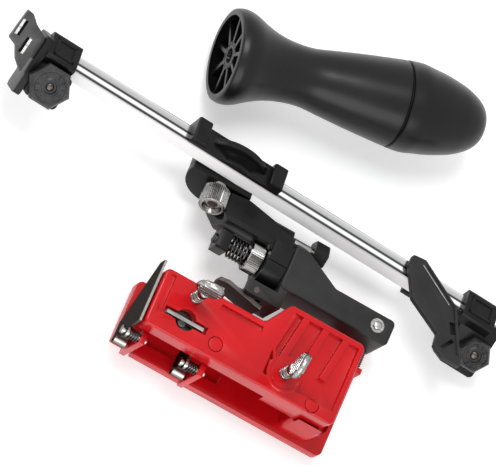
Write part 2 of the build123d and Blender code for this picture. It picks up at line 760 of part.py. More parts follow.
def leftJaw():
    """Outer plate that holds the file's end, with two slots and a tab to the end plate."""
    body = prism(jawPoints, 0, jawThick)
    body = fillet(body.edges().filter_by(Axis.Z), edgeRound / 2)
    edge = sheathLeft - endPlateThick
    body += block(edge - jawSlotWide, edge, jawTabLow, jawTabHigh, 0, jawThick)
    for x, y in jawSlots:
        body -= Pos(x, y, jawThick / 2) * Box(jawSlotWide, jawSlotLong, jawThick + cutOver)
    return at(knobFrame, body, z=jawLift)


def leftJawStrips():
    """Bright strips along the outer side of each slot."""
    strips = []
    for i, (x, y) in enumerate(jawSlots):
        side = (jawSlotWide - jawStripWide) / 2 * (2 * i - 1)
        strips.append(Pos(x + side, y, jawThick / 2) * Box(jawStripWide, jawSlotLong, jawThick))
    return at(knobFrame, Compound(strips), z=jawLift)


def rightBracket():
    """Box on the bar's end, with a tab behind the bar and a foot under it for the paddle."""
    half = sheathSide / 2
    body = at(barFrame, sheath(rightSheathLeft, rightSheathRight))
    boss = block(rightBoxLeft, rightBoxRight, -rightBoxLow, rightBoxTop, -rightBoxBack, rightKnobLift - seatGap)
    body += at(knobFrame, fillet(boss.edges().filter_by(Axis.Z), sheathRound))
    tab = block(tabLeft, rightBoxLeft, barSide / 2 + seatGap, half, -barSide / 2, tabTop)
    foot = block(footLeft, rightBoxLeft, -barSide / 2 - seatGap, half, -half, -barSide / 2 - seatGap)
    body += at(barFrame, tab + foot)
    body -= barHole() + screwHoles()
    return body - at(knobFrame, rod(knobScrewRadius + fitGap, -rightBoxBack - cutOver, rightKnobLift + cutOver,
                                    rightKnobX, -rightKnobDrop))


def rightPaddle():
    """Long plate in front of the bar that slants down and outward to the file's end."""
    body = prism(paddlePoints, 0, paddleThick)
    body = fillet(body.edges().filter_by(Axis.Z), edgeRound)
    return at(barFrame, Pos(0, -barSide / 2 - seatGap, 0) * Rot(90, 0, 0) * body)


def bracketSetScrews():
    screws = []
    for x, y in bracketScrews:
        top = bracketTop(y)
        low = barSide / 2 + seatGap if y == 0 else top - bracketScrewLong + seatGap
        head = rod(bracketScrewHead, top, top + bracketScrewThick, x, y)
        screws.append(rod(bracketScrewShank, low, top, x, y) + head)
    return at(barFrame, Compound(screws))


leftKnob = leftKnobX, leftKnobDrop, leftKnobLift, leftKnobThick
rightKnob = rightKnobX, rightKnobDrop, rightKnobLift, rightKnobThick


def hexKnob(x, drop, lift, thick, radius):
    """Six sided finger knob with its screw end in a dimple."""
    body = hexPrism(radius, lift, lift + thick)
    body = chamfer(body.faces().sort_by(Axis.Z)[-1].edges(), edgeRound)
    body -= rod(knobDimple, lift + thick - knobDimpleDeep, lift + thick + cutOver)
    body -= rod(knobScrewRadius + fitGap, lift - cutOver, lift + thick)
    return at(knobFrame, body, x, -drop)


def knobScrew(x, drop, lift, thick, foot):
    return at(knobFrame, rod(knobScrewRadius, foot, lift + thick - knobDimpleDeep / 2), x, -drop)


# Handle
def turned(stations, radii, wall=0):
    """A solid turned round Z through the given stations and radii, thinner by a wall."""
    points = [(radius - wall, station) for station, radius in zip(stations, radii)]
    edges = [Spline(*points), Polyline(points[-1], (0, stations[-1]), (0, stations[0]), points[0])]
    return revolve(Plane.XZ * make_face(edges), Axis.Z)


def grip():
    body = turned(gripStations, gripRadii)
    cavity = turned(gripStations, gripRadii, gripWall) & rod(ringRadius * 2, -cutOver, cavityDeep)
    ribs = rod(hubRadius, mouthRibBack, cavityDeep)
    for i in range(ribsInMouth):
        rib = block(0, max(gripRadii), -mouthRibThick / 2, mouthRibThick / 2, mouthRibBack, cavityDeep)
        ribs += Rot(0, 0, i * 360 / ribsInMouth) * rib
    body -= cavity - ribs
    body -= rod(socketRadius + fitGap, mouthRibBack - cutOver, mouthRibBack + socketLong + fitGap)
    return at(handleFrame, body)


def fileSocket():
    body = rod(socketRadius, mouthRibBack, mouthRibBack + socketLong)
    body -= rod(hubBore, mouthRibBack - cutOver, mouthRibBack + socketLong - cutOver)
    tooth = Pos(hubBore, 0, mouthRibBack + socketLong / 2) * Rot(0, 0, 45)
    tooth *= Box(socketToothDeep, socketToothDeep, socketLong * 2)
    for i in range(socketTeeth):
        body -= Rot(0, 0, i * 360 / socketTeeth) * tooth
    return at(handleFrame, body)


def endCap():
    neck = rod(capRadii[0] - seamInset, gripStations[-1], capStations[0] + cutOver)
    return at(handleFrame, turned(capStations, capRadii) + neck)


pieces = {
    "front_plate": frontPlate,
    "rear_plate": rearPlate,
    "plate_screws": plateScrews,
    "thumb_screw_left": lambda: thumbScrew(thumbSpots[0], headTurns[0]),
    "thumb_screw_right": lambda: thumbScrew(thumbSpots[1], headTurns[1]),
    "pressure_pad_left": lambda: pressurePad(thumbSpots[0]),
    "pressure_pad_right": lambda: pressurePad(thumbSpots[1]),
    "locating_key": locatingKey,
    "key_washer": keyWasher,
    "flap_left": lambda: flap(flapXs[0], flapTops[0], flapFronts[0]),
    "flap_right": lambda: flap(flapXs[1], flapTops[1], flapFronts[1]),
    "flap_pin_left": lambda: flapPin(flapXs[0]),
    "flap_pin_right": lambda: flapPin(flapXs[1]),
    "flap_spring_left": lambda: flapSpring(flapXs[0]),
    "flap_spring_right": lambda: flapSpring(flapXs[1]),
    "swing_arm": swingArm,
    "hinge_pin": hingePin,
    "hinge_bush": hingeBush,
    "return_spring": returnSpring,
    "spring_post": springPost,
    "tooth_stop": toothStop,
    "stop_pin": stopPin,
    "tilt_column": column,
    "tilt_stud": tiltStud,
    "square_nut": squareNut,
    "tilt_spring": tiltSpring,
    "knurled_nut": knurledNut,
    "tilt_knob": tiltKnob,
    "tilt_clamp_screw": tiltClampScrew,
    "swivel_guide": guide,
    "swivel_bolt": swivelBolt,
    "lock_knob": lockKnob,
    "filing_bar": filingBar,
    "bracket_left": leftBracket,
    "jaw_left": leftJaw,
    "jaw_strips": leftJawStrips,
    "bracket_right": rightBracket,
    "paddle_right": rightPaddle,
    "bracket_screws": bracketSetScrews,
    "file_knob_left": lambda: hexKnob(*leftKnob, leftKnobRadius),
    "file_knob_right": lambda: hexKnob(*rightKnob, rightKnobRadius),
    "knob_screw_left": lambda: knobScrew(*leftKnob, -knobBossHigh),
    "knob_screw_right": lambda: knobScrew(*rightKnob, -rightBoxBack),
    "grip": grip,
    "file_socket": fileSocket,
    "end_cap": endCap,
}

built = {name: make() for name, make in pieces.items()}
whole = Compound([solid for shape in built.values() for solid in shape.solids()]).bounding_box()
shift = Pos(-(whole.min.X + whole.max.X) / 2, -(whole.min.Y + whole.max.Y) / 2, -whole.min.Z)

os.makedirs("parts", exist_ok=True)
for name, shape in built.items():
    solids = (shift * shape).solids()
    export_step(solids[0] if len(solids) == 1 else Compound(solids), f"parts/{name}.step")
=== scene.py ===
import bpy
import bmesh
from math import cos, sin, pi, radians, sqrt
from mathutils import Matrix, Vector


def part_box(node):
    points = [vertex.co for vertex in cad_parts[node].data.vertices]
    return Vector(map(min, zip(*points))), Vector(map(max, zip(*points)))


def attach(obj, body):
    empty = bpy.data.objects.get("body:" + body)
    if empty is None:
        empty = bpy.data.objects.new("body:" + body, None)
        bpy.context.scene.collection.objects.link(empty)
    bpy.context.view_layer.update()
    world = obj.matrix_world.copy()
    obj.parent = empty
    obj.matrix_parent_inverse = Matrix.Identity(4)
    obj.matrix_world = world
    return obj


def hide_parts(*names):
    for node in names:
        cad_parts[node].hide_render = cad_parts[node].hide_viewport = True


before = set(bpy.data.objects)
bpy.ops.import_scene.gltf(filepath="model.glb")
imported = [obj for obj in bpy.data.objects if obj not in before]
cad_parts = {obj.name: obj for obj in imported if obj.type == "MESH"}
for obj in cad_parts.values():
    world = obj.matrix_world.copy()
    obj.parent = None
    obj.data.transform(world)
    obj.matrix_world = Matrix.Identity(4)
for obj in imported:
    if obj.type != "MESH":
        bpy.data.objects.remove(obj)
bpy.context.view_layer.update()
print("frame loaded", len(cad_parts), "nodes")

# The clamp's own frame, in mm: the front plate's face is Z = 0, its left edge X = 0 and its low
# top edge Y = 0, which lies lowEdge metres under the plate's highest point
lowEdge = 0.012
plateLow, plateHigh = (Vector(corner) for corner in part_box("front_plate"))
clampCorner = Vector((plateLow.x, plateHigh.y - lowEdge, plateHigh.z))


def place(x, y, z):
    return clampCorner + Vector((x, y, z)) / 1000


def axes(origin, xDir, zDir):
    # a matrix that puts local millimetres at a place in the part's frame
    z = Vector(zDir).normalized()
    x = (Vector(xDir) - z * Vector(xDir).dot(z)).normalized()
    turn = Matrix((x, z.cross(x), z)).transposed().to_4x4()
    return Matrix.Translation(origin) @ turn @ Matrix.Scale(0.001, 4)


tilt = {"angle": 15, "swivel": 3.7, "head": (10.9, 48.7, -19), "barForward": 7, "barLift": 6.8,
        "knobTurn": 135, "stud": (28.3, -19.0)}
lean = radians(tilt["angle"])
clampPlace = axes(place(0, 0, 0), (1, 0, 0), (0, 0, 1))
headPlace = axes(place(*tilt["head"]), (1, 0, 0), (0, cos(lean), -sin(lean)))
guidePlace = headPlace @ Matrix.Rotation(radians(tilt["swivel"]), 4, "Z")
barPlace = guidePlace @ Matrix.Translation((0, -tilt["barForward"], tilt["barLift"]))
knobPlace = barPlace @ Matrix.Rotation(radians(tilt["knobTurn"]), 4, "X")


def studPlace(x):
    # a place on the tilt stud's axis, with local Z along it
    return clampPlace @ Matrix.Translation((x, *tilt["stud"])) @ Matrix.Rotation(pi / 2, 4, "Y")


# node helpers
def feed(tree, node, inputs):
    # each input takes a plain value, or a link from another node's output
    for key, value in inputs.items():
        if isinstance(value, bpy.types.NodeSocket):
            tree.links.new(value, node.inputs[key])
        else:
            node.inputs[key].default_value = value
    return node


def newNode(tree, kind, inputs=None, **settings):
    node = tree.nodes.new(kind)
    for key, value in settings.items():
        setattr(node, key, value)
    return feed(tree, node, inputs or {})


def mathNode(tree, operation, *values):
    node = newNode(tree, "ShaderNodeMath", dict(enumerate(values)), operation=operation)
    return node.outputs[0]


def socketOf(group, name, way, kind, value=None):
    made = group.interface.new_socket(name=name, in_out=way, socket_type=kind)
    if value is not None:
        made.default_value = value


def newGroup(name, inputs, outputs):
    group = bpy.data.node_groups.new(name, "ShaderNodeTree")
    for key, value in inputs.items():
        socketOf(group, key, "INPUT", "NodeSocketFloat", value)
    for key in outputs:
        socketOf(group, key, "OUTPUT", "NodeSocketFloat")
    return group, newNode(group, "NodeGroupInput").outputs


# materials
grainShape = {"peelDetail": 3, "cloudDetail": 5, "speckSize": 0.12, "speckFrom": 0.56}
lineShape = {"turn": 3.6, "detail": 2}


def castGrain():
    # fine orange peel, wide unevenness and specks, for paint and moulded plastic
    group, given = newGroup("castGrain", {"Scale": 900.0, "Wave": 60.0, "Specks": 0.0},
                            ("Height", "Cloud", "Dust"))
    coord = newNode(group, "ShaderNodeTexCoord").outputs["Object"]
    peel = newNode(group, "ShaderNodeTexNoise", {
        "Vector": coord, "Scale": given["Scale"], "Detail": grainShape["peelDetail"]})
    cloud = newNode(group, "ShaderNodeTexNoise", {
        "Vector": coord, "Scale": given["Wave"], "Detail": grainShape["cloudDetail"]})
    dust = newNode(group, "ShaderNodeTexVoronoi", {"Vector": coord, "Scale": given["Scale"]})
    near = mathNode(group, "LESS_THAN", dust.outputs["Distance"], grainShape["speckSize"])
    seldom = mathNode(group, "GREATER_THAN", cloud.outputs["Fac"], grainShape["speckFrom"])
    both = mathNode(group, "MULTIPLY", near, seldom)
    newNode(group, "NodeGroupOutput", {
        "Height": peel.outputs["Fac"], "Cloud": cloud.outputs["Fac"],
        "Dust": mathNode(group, "MULTIPLY", both, given["Specks"])})
    return group


def drawnLines():
    # lines along one direction, left by drawing, turning or brushing steel
    group, given = newGroup("drawnLines", {"Fine": 2500.0, "Along": 30.0}, ("Lines",))
    coord = newNode(group, "ShaderNodeTexCoord").outputs["Object"]
    turn = newNode(group, "ShaderNodeMapping", {
        "Vector": coord, "Rotation": (0, 0, radians(lineShape["turn"]))})
    scales = newNode(group, "ShaderNodeCombineXYZ", {
        "X": given["Along"], "Y": given["Fine"], "Z": given["Fine"]})
    stretch = newNode(group, "ShaderNodeVectorMath", {
        0: turn.outputs["Vector"], 1: scales.outputs["Vector"]}, operation="MULTIPLY")
    noise = newNode(group, "ShaderNodeTexNoise", {
        "Vector": stretch.outputs["Vector"], "Scale": 1, "Detail": lineShape["detail"]})
    newNode(group, "NodeGroupOutput", {"Lines": noise.outputs["Fac"]})
    return group


grainGroup = castGrain()
linesGroup = drawnLines()


def groupNode(tree, group, values):
    return newNode(tree, "ShaderNodeGroup", values, node_tree=group).outputs


def rampNode(tree, source, stops):
    node = newNode(tree, "ShaderNodeValToRGB", {"Fac": source})
    while len(node.color_ramp.elements) < len(stops):
        node.color_ramp.elements.new(0.5)
    for element, (position, colour) in zip(node.color_ramp.elements, stops):
        element.position = position
        element.color = (*colour, 1)
    return node.outputs["Color"]


def rangeNode(tree, source, low, high, start=0.0, end=1.0):
    return newNode(tree, "ShaderNodeMapRange", {
        "Value": source, "From Min": start, "From Max": end, "To Min": low, "To Max": high,
    }).outputs["Result"]


def mixNode(tree, factor, first, second):
    # 6, 7 and 2 are the node's two colours and its result
    return newNode(tree, "ShaderNodeMix", {"Factor": factor, 6: first, 7: second},
                   data_type="RGBA").outputs[2]


def bumpNode(tree, source, strength, distance):
    return newNode(tree, "ShaderNodeBump", {
        "Height": source, "Strength": strength, "Distance": distance}).outputs["Normal"]


def emptyMaterial(name):
    material = bpy.data.materials.new(name)
    material.use_nodes = True
    tree = material.node_tree
    return material, tree, tree.nodes["Principled BSDF"]


def grey(value):
    return (value,) * 3


# where the two tints stand on the ramp, how far the roughness spreads, and the bump in metres
coatedShape = {"darkAt": 0.35, "lightAt": 0.7, "smoother": 0.04, "rougher": 0.05,
               "bumpDeep": 0.0001, "coatRough": 0.06}
metalShape = {"darkAt": 0.3, "lightAt": 0.7, "smoother": 0.05, "rougher": 0.07,
              "bumpDeep": 0.00005}


def tintNode(tree, source, look, shape):
    return rampNode(tree, source, ((shape["darkAt"], look["dark"]),
                                   (shape["lightAt"], look["light"])))


def glossNode(tree, source, look, shape):
    return rangeNode(tree, source, look["gloss"] - shape["smoother"],
                     look["gloss"] + shape["rougher"])


def coated(name, look):
    # paint or moulded plastic
    material, tree, shader = emptyMaterial(name)
    grain = groupNode(tree, grainGroup, {
        "Scale": look["grain"], "Wave": look["wave"], "Specks": look["specks"]})
    tint = tintNode(tree, grain["Cloud"], look, coatedShape)
    feed(tree, shader, {
        "Base Color": mixNode(tree, grain["Dust"], tint, (*look["dust"], 1)),
        "Roughness": glossNode(tree, grain["Cloud"], look, coatedShape),
        "Normal": bumpNode(tree, grain["Height"], look["bump"], coatedShape["bumpDeep"]),
        "Coat Weight": look["coat"], "Coat Roughness": coatedShape["coatRough"],
        "Specular IOR Level": look["shine"]})
    return material


def metal(name, look):
    material, tree, shader = emptyMaterial(name)
    lines = groupNode(tree, linesGroup, {"Fine": look["fine"], "Along": look["along"]})["Lines"]
    tint = tintNode(tree, lines, look, metalShape)
    # painted shade: the base colour fades to the look's rim colour where the surface turns away
    # from the view, standing in for the dark corners that bright metal reflects in a white room
    grazingShade = newNode(tree, "ShaderNodeLayerWeight", {"Blend": look["blend"]}).outputs["Facing"]
    feed(tree, shader, {
        "Base Color": mixNode(tree, grazingShade, tint, (*look["rim"], 1)),
        "Roughness": glossNode(tree, lines, look, metalShape),
        "Normal": bumpNode(tree, lines, look["bump"], metalShape["bumpDeep"]),
        "Metallic": 1, "Specular Tint": (*grey(look["edge"]), 1)})
    return material


def barChrome(name, look):
    # bright bar whose mirror faces get painted reflections: dark and light lines painted along its
    # front face, and a satin face below painted near white with grey lines at its edges
    material, tree, shader = emptyMaterial(name)
    lines = groupNode(tree, linesGroup, {"Fine": look["fine"], "Along": look["along"]})["Lines"]
    unturned = barPlace.to_quaternion().inverted()
    turn = newNode(tree, "ShaderNodeMapping", {
        "Vector": newNode(tree, "ShaderNodeTexCoord").outputs["Object"],
        "Rotation": unturned.to_euler(), "Location": -(unturned @ barPlace.translation)})
    apart = newNode(tree, "ShaderNodeSeparateXYZ", {"Vector": turn.outputs["Vector"]}).outputs
    span = (0.0, 1.0, -look["half"], look["half"])
    frontPaintedReflection = rampNode(tree, rangeNode(tree, apart["Z"], *span), look["frontPaintedReflection"])
    under = rampNode(tree, rangeNode(tree, apart["Y"], *span), look["under"])
    front = mathNode(tree, "LESS_THAN", apart["Y"], -look["face"])
    low = mathNode(tree, "LESS_THAN", apart["Z"], -look["face"])
    below = mathNode(tree, "MULTIPLY", mathNode(tree, "SUBTRACT", 1.0, front), low)
    soft = mathNode(tree, "MULTIPLY", below, look["soft"])
    gloss = rangeNode(tree, lines, *look["gloss"])
    feed(tree, shader, {
        "Base Color": mixNode(tree, front, under, frontPaintedReflection),
        "Roughness": mathNode(tree, "ADD", gloss, soft),
        "Metallic": mathNode(tree, "SUBTRACT", 1.0, soft),
        "Normal": bumpNode(tree, lines, look["bump"], look["bumpDeep"])})
    return material


redLook = {"light": (0.64, 0.005, 0.010), "dark": (0.50, 0.003, 0.006), "dust": (0.9, 0.3, 0.3),
           "gloss": 0.25, "grain": 1400, "wave": 45, "specks": 0, "bump": 0.12, "coat": 0.22,
           "shine": 0.2}
blackLook = {"light": (0.0085, 0.0085, 0.009), "dark": grey(0.0035), "dust": grey(0.2),
             "gloss": 0.36, "grain": 2200, "wave": 70, "specks": 0, "bump": 0.25, "coat": 0.04,
             "shine": 0.17}
handleLook = {"light": grey(0.008), "dark": grey(0.004), "dust": grey(0.1), "gloss": 0.32,
              "grain": 1500, "wave": 30, "specks": 0.3, "bump": 0.16, "coat": 0.04, "shine": 0.24}
armLook = {"light": (0.027, 0.026, 0.026), "dark": (0.017, 0.016, 0.016), "dust": grey(0.2),
           "gloss": 0.46, "grain": 2600, "wave": 80, "specks": 0, "bump": 0.3, "coat": 0.0,
           "shine": 0.24}
greyLook = {"light": (0.072, 0.072, 0.074), "dark": (0.034, 0.034, 0.035), "dust": grey(0.3),
            "gloss": 0.42, "grain": 1500, "wave": 160, "specks": 0.4, "bump": 0.5, "coat": 0.05,
            "shine": 0.36}
knobLook = {"light": (0.036, 0.036, 0.037), "dark": grey(0.006), "dust": grey(0.2),
            "gloss": 0.36, "grain": 1600, "wave": 330, "specks": 0.2, "bump": 0.4, "coat": 0.08,
            "shine": 0.34}
# the rim colour of each metal look is painted shade, the tint it fades to at a grazing view; blend
# sets how soon
zincLook = {"light": (0.64, 0.63, 0.61), "dark": (0.30, 0.29, 0.28), "rim": grey(0.04),
            "gloss": 0.22, "blend": 0.5, "edge": 0.7, "fine": 1800, "along": 120, "bump": 0.1}
stripLook = {"light": (0.46, 0.44, 0.41), "dark": (0.34, 0.32, 0.30),
             "rim": (0.018, 0.015, 0.014), "gloss": 0.28, "blend": 0.64, "edge": 0.3,
             "fine": 900, "along": 40, "bump": 0.05}
darkLook = {"light": (0.15, 0.13, 0.12), "dark": (0.05, 0.042, 0.038), "rim": grey(0.02),
            "gloss": 0.34, "blend": 0.42, "edge": 0.5, "fine": 1500, "along": 90, "bump": 0.3}
springLook = {"light": grey(0.14), "dark": grey(0.05), "rim": grey(0.01), "gloss": 0.25,
              "blend": 0.42, "edge": 0.6, "fine": 1500, "along": 200, "bump": 0.1}
# the two colour ramps are painted reflections: stripes across the front face, and a near white
# bottom face whose edges go grey
barLook = {"fine": 1500, "along": 12, "gloss": (0.1, 0.22), "bump": 0.08, "bumpDeep": 0.00004,
           "half": 0.004, "face": 0.0038, "soft": 0.85,
           "under": ((0.0, (0.4, 0.4, 0.41)), (0.06, (0.7, 0.7, 0.71)), (0.14, grey(0.99)),
                     (0.92, grey(0.99)), (0.96, grey(0.4)), (1.0, grey(0.25))),
           "frontPaintedReflection": ((0.0, grey(0.05)), (0.13, grey(0.07)), (0.2, (0.95, 0.95, 0.96)),
                     (0.38, (0.95, 0.95, 0.96)), (0.44, grey(0.04)), (0.52, grey(0.06)),
                     (0.58, (0.5, 0.5, 0.51)), (0.8, (0.62, 0.62, 0.63)), (0.9, grey(0.8)),
                     (1.0, grey(0.35)))}

redEnamel = coated("redEnamel", redLook)
blackPlastic = coated("blackPlastic", blackLook)
handlePlastic = coated("handlePlastic", handleLook)
armPlastic = coated("armPlastic", armLook)
greyPlastic = coated("greyPlastic", greyLook)
knobPlastic = coated("knobPlastic", knobLook)
zincSteel = metal("zincSteel", zincLook)
stripSteel = metal("stripSteel", stripLook)
darkSteel = metal("darkSteel", darkLook)
springSteel = metal("springSteel", springLook)
brightBar = barChrome("brightBar", barLook)
print("materials", len(bpy.data.materials))


# helpers for pieces
def added(name, data):
    made = bpy.data.objects.new(name, data)
    bpy.context.collection.objects.link(made)
    return made


def baked(obj):
    # the mesh that an object's modifiers make; the object itself goes
    depsgraph = bpy.context.evaluated_depsgraph_get()
    mesh = bpy.data.meshes.new_from_object(obj.evaluated_get(depsgraph))
    bpy.data.objects.remove(obj)
    return mesh


def smoothed(mesh, angle):
    mesh.shade_smooth()
    mesh.set_sharp_from_angle(angle=radians(angle))


def finished(name, mesh, material, body, replaced=(), smooth=40):
    piece = added(name, mesh)
    if not mesh.materials:
        mesh.materials.append(material)
    if smooth:
        smoothed(mesh, smooth)
    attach(piece, body)
    if replaced:
        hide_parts(*replaced)
    return piece


def meshFrom(work, name="work", matrix=Matrix.Identity(4)):
    bmesh.ops.recalc_face_normals(work, faces=work.faces)
    mesh = bpy.data.meshes.new(name)
    work.to_mesh(mesh)
    work.free()
    mesh.transform(matrix)
    return mesh


def moved(work, offset):
    bmesh.ops.translate(work, verts=work.verts, vec=offset)


def turned(work, angle, axis):
    turn = Matrix.Rotation(angle, 3, axis)
    bmesh.ops.rotate(work, verts=work.verts, cent=(0, 0, 0), matrix=turn)


def circleOf(work, radius, height, steps):
    if radius <= 0:
        return [work.verts.new((0, 0, height))]
    turns = [2 * pi * i / steps for i in range(steps)]
    return [work.verts.new((radius * cos(turn), radius * sin(turn), height)) for turn in turns]


def skin(work, rows):
    # faces between closed rows of points; a row of one point is a pole
    for low, high in zip(rows, rows[1:]):
        steps = max(len(low), len(high))
        for i in range(steps):
            j = (i + 1) % steps
            if len(low) == 1:
                work.faces.new((low[0], high[i], high[j]))
            elif len(high) == 1:
                work.faces.new((low[i], low[j], high[0]))
            else:
                work.faces.new((low[i], low[j], high[j], high[i]))


def lathe(profile, steps, closed=False):
    # profile is a list of (radius, height); a radius of 0 closes the end
    work = bmesh.new()
    rings = [circleOf(work, radius, height, steps) for radius, height in profile]
    skin(work, rings + rings[:1] if closed else rings)
    return work


def roundedEnds(radius, low, high, edge, steps):
    # the outline of a turned disc with rounded rims
    turns = [pi / 2 * i / steps for i in range(steps + 1)]
    return [(0, low),
            *((radius - edge + edge * sin(turn), low + edge - edge * cos(turn)) for turn in turns),
            *((radius - edge + edge * cos(turn), high - edge + edge * sin(turn)) for turn in turns),
            (0, high)]


def curveThrough(points, count):
    # Catmull-Rom points through a list of pairs
    ends = [points[0], *points, points[-1]]
    out = []
    for a, b, c, d in zip(ends, ends[1:], ends[2:], ends[3:]):
        for i in range(count):
            t = i / count
            out.append(tuple(0.5 * (2 * q + (r - p) * t + (2 * p - 5 * q + 4 * r - s) * t * t
                                    + (3 * q - p - 3 * r + s) * t * t * t)
                             for p, q, r, s in zip(a, b, c, d)))
    out.append(points[-1])
    return out


def prismWork(outline, low, high, bevel=0.0):
    work = bmesh.new()
    face = work.faces.new([work.verts.new((x, y, low)) for x, y in outline])
    made = bmesh.ops.extrude_face_region(work, geom=[face])
    top = [item for item in made["geom"] if isinstance(item, bmesh.types.BMVert)]
    bmesh.ops.translate(work, verts=top, vec=(0, 0, high - low))
    if bevel:
        bmesh.ops.recalc_face_normals(work, faces=work.faces)
        bmesh.ops.bevel(work, geom=list(work.edges), offset=bevel, segments=2, affect="EDGES",
                        profile=0.6)
    return work


def boxWork(size, middle=(0, 0, 0), bevel=0.2):
    sx, sy, sz = (value / 2 for value in size)
    work = prismWork(((-sx, -sy), (sx, -sy), (sx, sy), (-sx, sy)), -sz, sz, bevel)
    moved(work, middle)
    return work


def joined(*works):
    whole = bmesh.new()
    for work in works:
        part = meshFrom(work)
        whole.from_mesh(part)
        bpy.data.meshes.remove(part)
    return whole


# merge in metres, the rest in degrees
softEdge = {"merge": 0.000002, "flat": 0.4, "bevelFrom": 38, "sharpFrom": 34}


def softened(node, name, material, body, width, segments):
    # a copy of a CAD node with its doubles merged and its hard edges broken; width in mm
    work = bmesh.new()
    work.from_mesh(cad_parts[node].data)
    bmesh.ops.remove_doubles(work, verts=work.verts, dist=softEdge["merge"])
    bmesh.ops.dissolve_limit(work, angle_limit=radians(softEdge["flat"]), verts=work.verts,
                             edges=work.edges)
    mesh = bpy.data.meshes.new(name)
    work.to_mesh(mesh)
    work.free()
    copy = added("copy", mesh)
    bevel = copy.modifiers.new("edges", "BEVEL")
    bevel.width = width / 1000
    bevel.segments = segments
    bevel.limit_method = "ANGLE"
    bevel.angle_limit = radians(softEdge["bevelFrom"])
    return finished(name, baked(copy), material, body, (node,), smooth=softEdge["sharpFrom"])


def carved(mesh, cutterWork):
    # a copy of a mesh with a second shape cut out of it
    block, tool = added("block", mesh), added("tool", meshFrom(cutterWork))
    cut = block.modifiers.new("cut", "BOOLEAN")
    cut.object = tool
    cut.operation = "DIFFERENCE"
    cut.solver = "EXACT"
    cut.use_self = True
    result = baked(block)
    bpy.data.objects.remove(tool)
    return result


# Geometry Nodes trees
socketKinds = {int: "NodeSocketInt", float: "NodeSocketFloat", tuple: "NodeSocketVector"}


def newTree(name, inputs):
    tree = bpy.data.node_groups.new(name, "GeometryNodeTree")
    tree.is_modifier = True
    socketOf(tree, "Geometry", "OUTPUT", "NodeSocketGeometry")
    for key, value in inputs.items():
        socketOf(tree, key, "INPUT", socketKinds[type(value)], value)
    socketOf(tree, "Material", "INPUT", "NodeSocketMaterial")
    return tree, newNode(tree, "NodeGroupInput").outputs


def closeTree(tree, given, geometry):
    real = newNode(tree, "GeometryNodeRealizeInstances", {"Geometry": geometry})
    dressed = newNode(tree, "GeometryNodeSetMaterial", {
        "Geometry": real.outputs["Geometry"], "Material": given["Material"]})
    newNode(tree, "NodeGroupOutput", {"Geometry": dressed.outputs["Geometry"]})
    return tree


def ringTree():
    # small blocks standing round an axis: knurls, scale lines, creases and teeth
    tree, given = newTree("blocksRound", {
        "Count": 12, "Radius": 5.0, "Start": 0.0, "Step": 0.5, "Height": 0.0,
        "Size": (1.0, 1.0, 1.0), "Twist": 0.0})
    index = newNode(tree, "GeometryNodeInputIndex").outputs[0]
    angle = mathNode(tree, "ADD", mathNode(tree, "MULTIPLY", index, given["Step"]), given["Start"])
    spot = newNode(tree, "ShaderNodeCombineXYZ", {
        "X": mathNode(tree, "MULTIPLY", mathNode(tree, "COSINE", angle), given["Radius"]),
        "Y": mathNode(tree, "MULTIPLY", mathNode(tree, "SINE", angle), given["Radius"]),
        "Z": given["Height"]})
    turn = newNode(tree, "ShaderNodeCombineXYZ", {
        "Z": mathNode(tree, "ADD", angle, given["Twist"])})
    points = newNode(tree, "GeometryNodePoints", {
        "Count": given["Count"], "Position": spot.outputs["Vector"]})
    block = newNode(tree, "GeometryNodeMeshCube", {"Size": given["Size"]})
    spread = newNode(tree, "GeometryNodeInstanceOnPoints", {
        "Points": points.outputs[0], "Instance": block.outputs["Mesh"],
        "Rotation": turn.outputs["Vector"]})
    return closeTree(tree, given, spread.outputs["Instances"])


def threadTree():
    # a thread's crest, wound round an axis
    tree, given = newTree("threadCrest", {
        "Radius": 2.0, "Turns": 6.0, "Length": 5.0, "Crest": 0.3})
    wound = newNode(tree, "GeometryNodeCurveSpiral", {
        "Resolution": 24, "Rotations": given["Turns"], "Start Radius": given["Radius"],
        "End Radius": given["Radius"], "Height": given["Length"]})
    crest = newNode(tree, "GeometryNodeCurvePrimitiveCircle", {
        "Resolution": 5, "Radius": given["Crest"]})
    swept = newNode(tree, "GeometryNodeCurveToMesh", {
        "Curve": wound.outputs["Curve"], "Profile Curve": crest.outputs["Curve"],
        "Fill Caps": True})
    return closeTree(tree, given, swept.outputs["Mesh"])


ringBlocks, threadCrest = ringTree(), threadTree()


def grown(name, tree, values, material, matrix, body, smooth=40):
    # run a tree on an empty mesh and keep its result as a plain mesh
    holder = added("holder", bpy.data.meshes.new(name))
    nodes = holder.modifiers.new("nodes", "NODES")
    nodes.node_group = tree
    for item in tree.interface.items_tree:
        if item.in_out == "INPUT":
            nodes[item.identifier] = material if item.name == "Material" else values[item.name]
    mesh = baked(holder)
    mesh.transform(matrix)
    finished(name, mesh, material, body, smooth=smooth)


print("helpers and trees ready")

# clamp plates
for node, name in (("front_plate", "frontPlate"), ("rear_plate", "rearPlate")):
    softened(node, name, redEnamel, "clamp", 0.35, 3)

bossWall = {"shoulder": ((57.0, 8.6), (54.0, -8.5)), "centre": (62.4, -15.8), "radius": 7.2,
            "start": 150, "sweep": 215, "steps": 30, "wide": 1.7, "crown": 0.5, "deep": 1.5,
            "top": 0.45, "edge": 0.4}


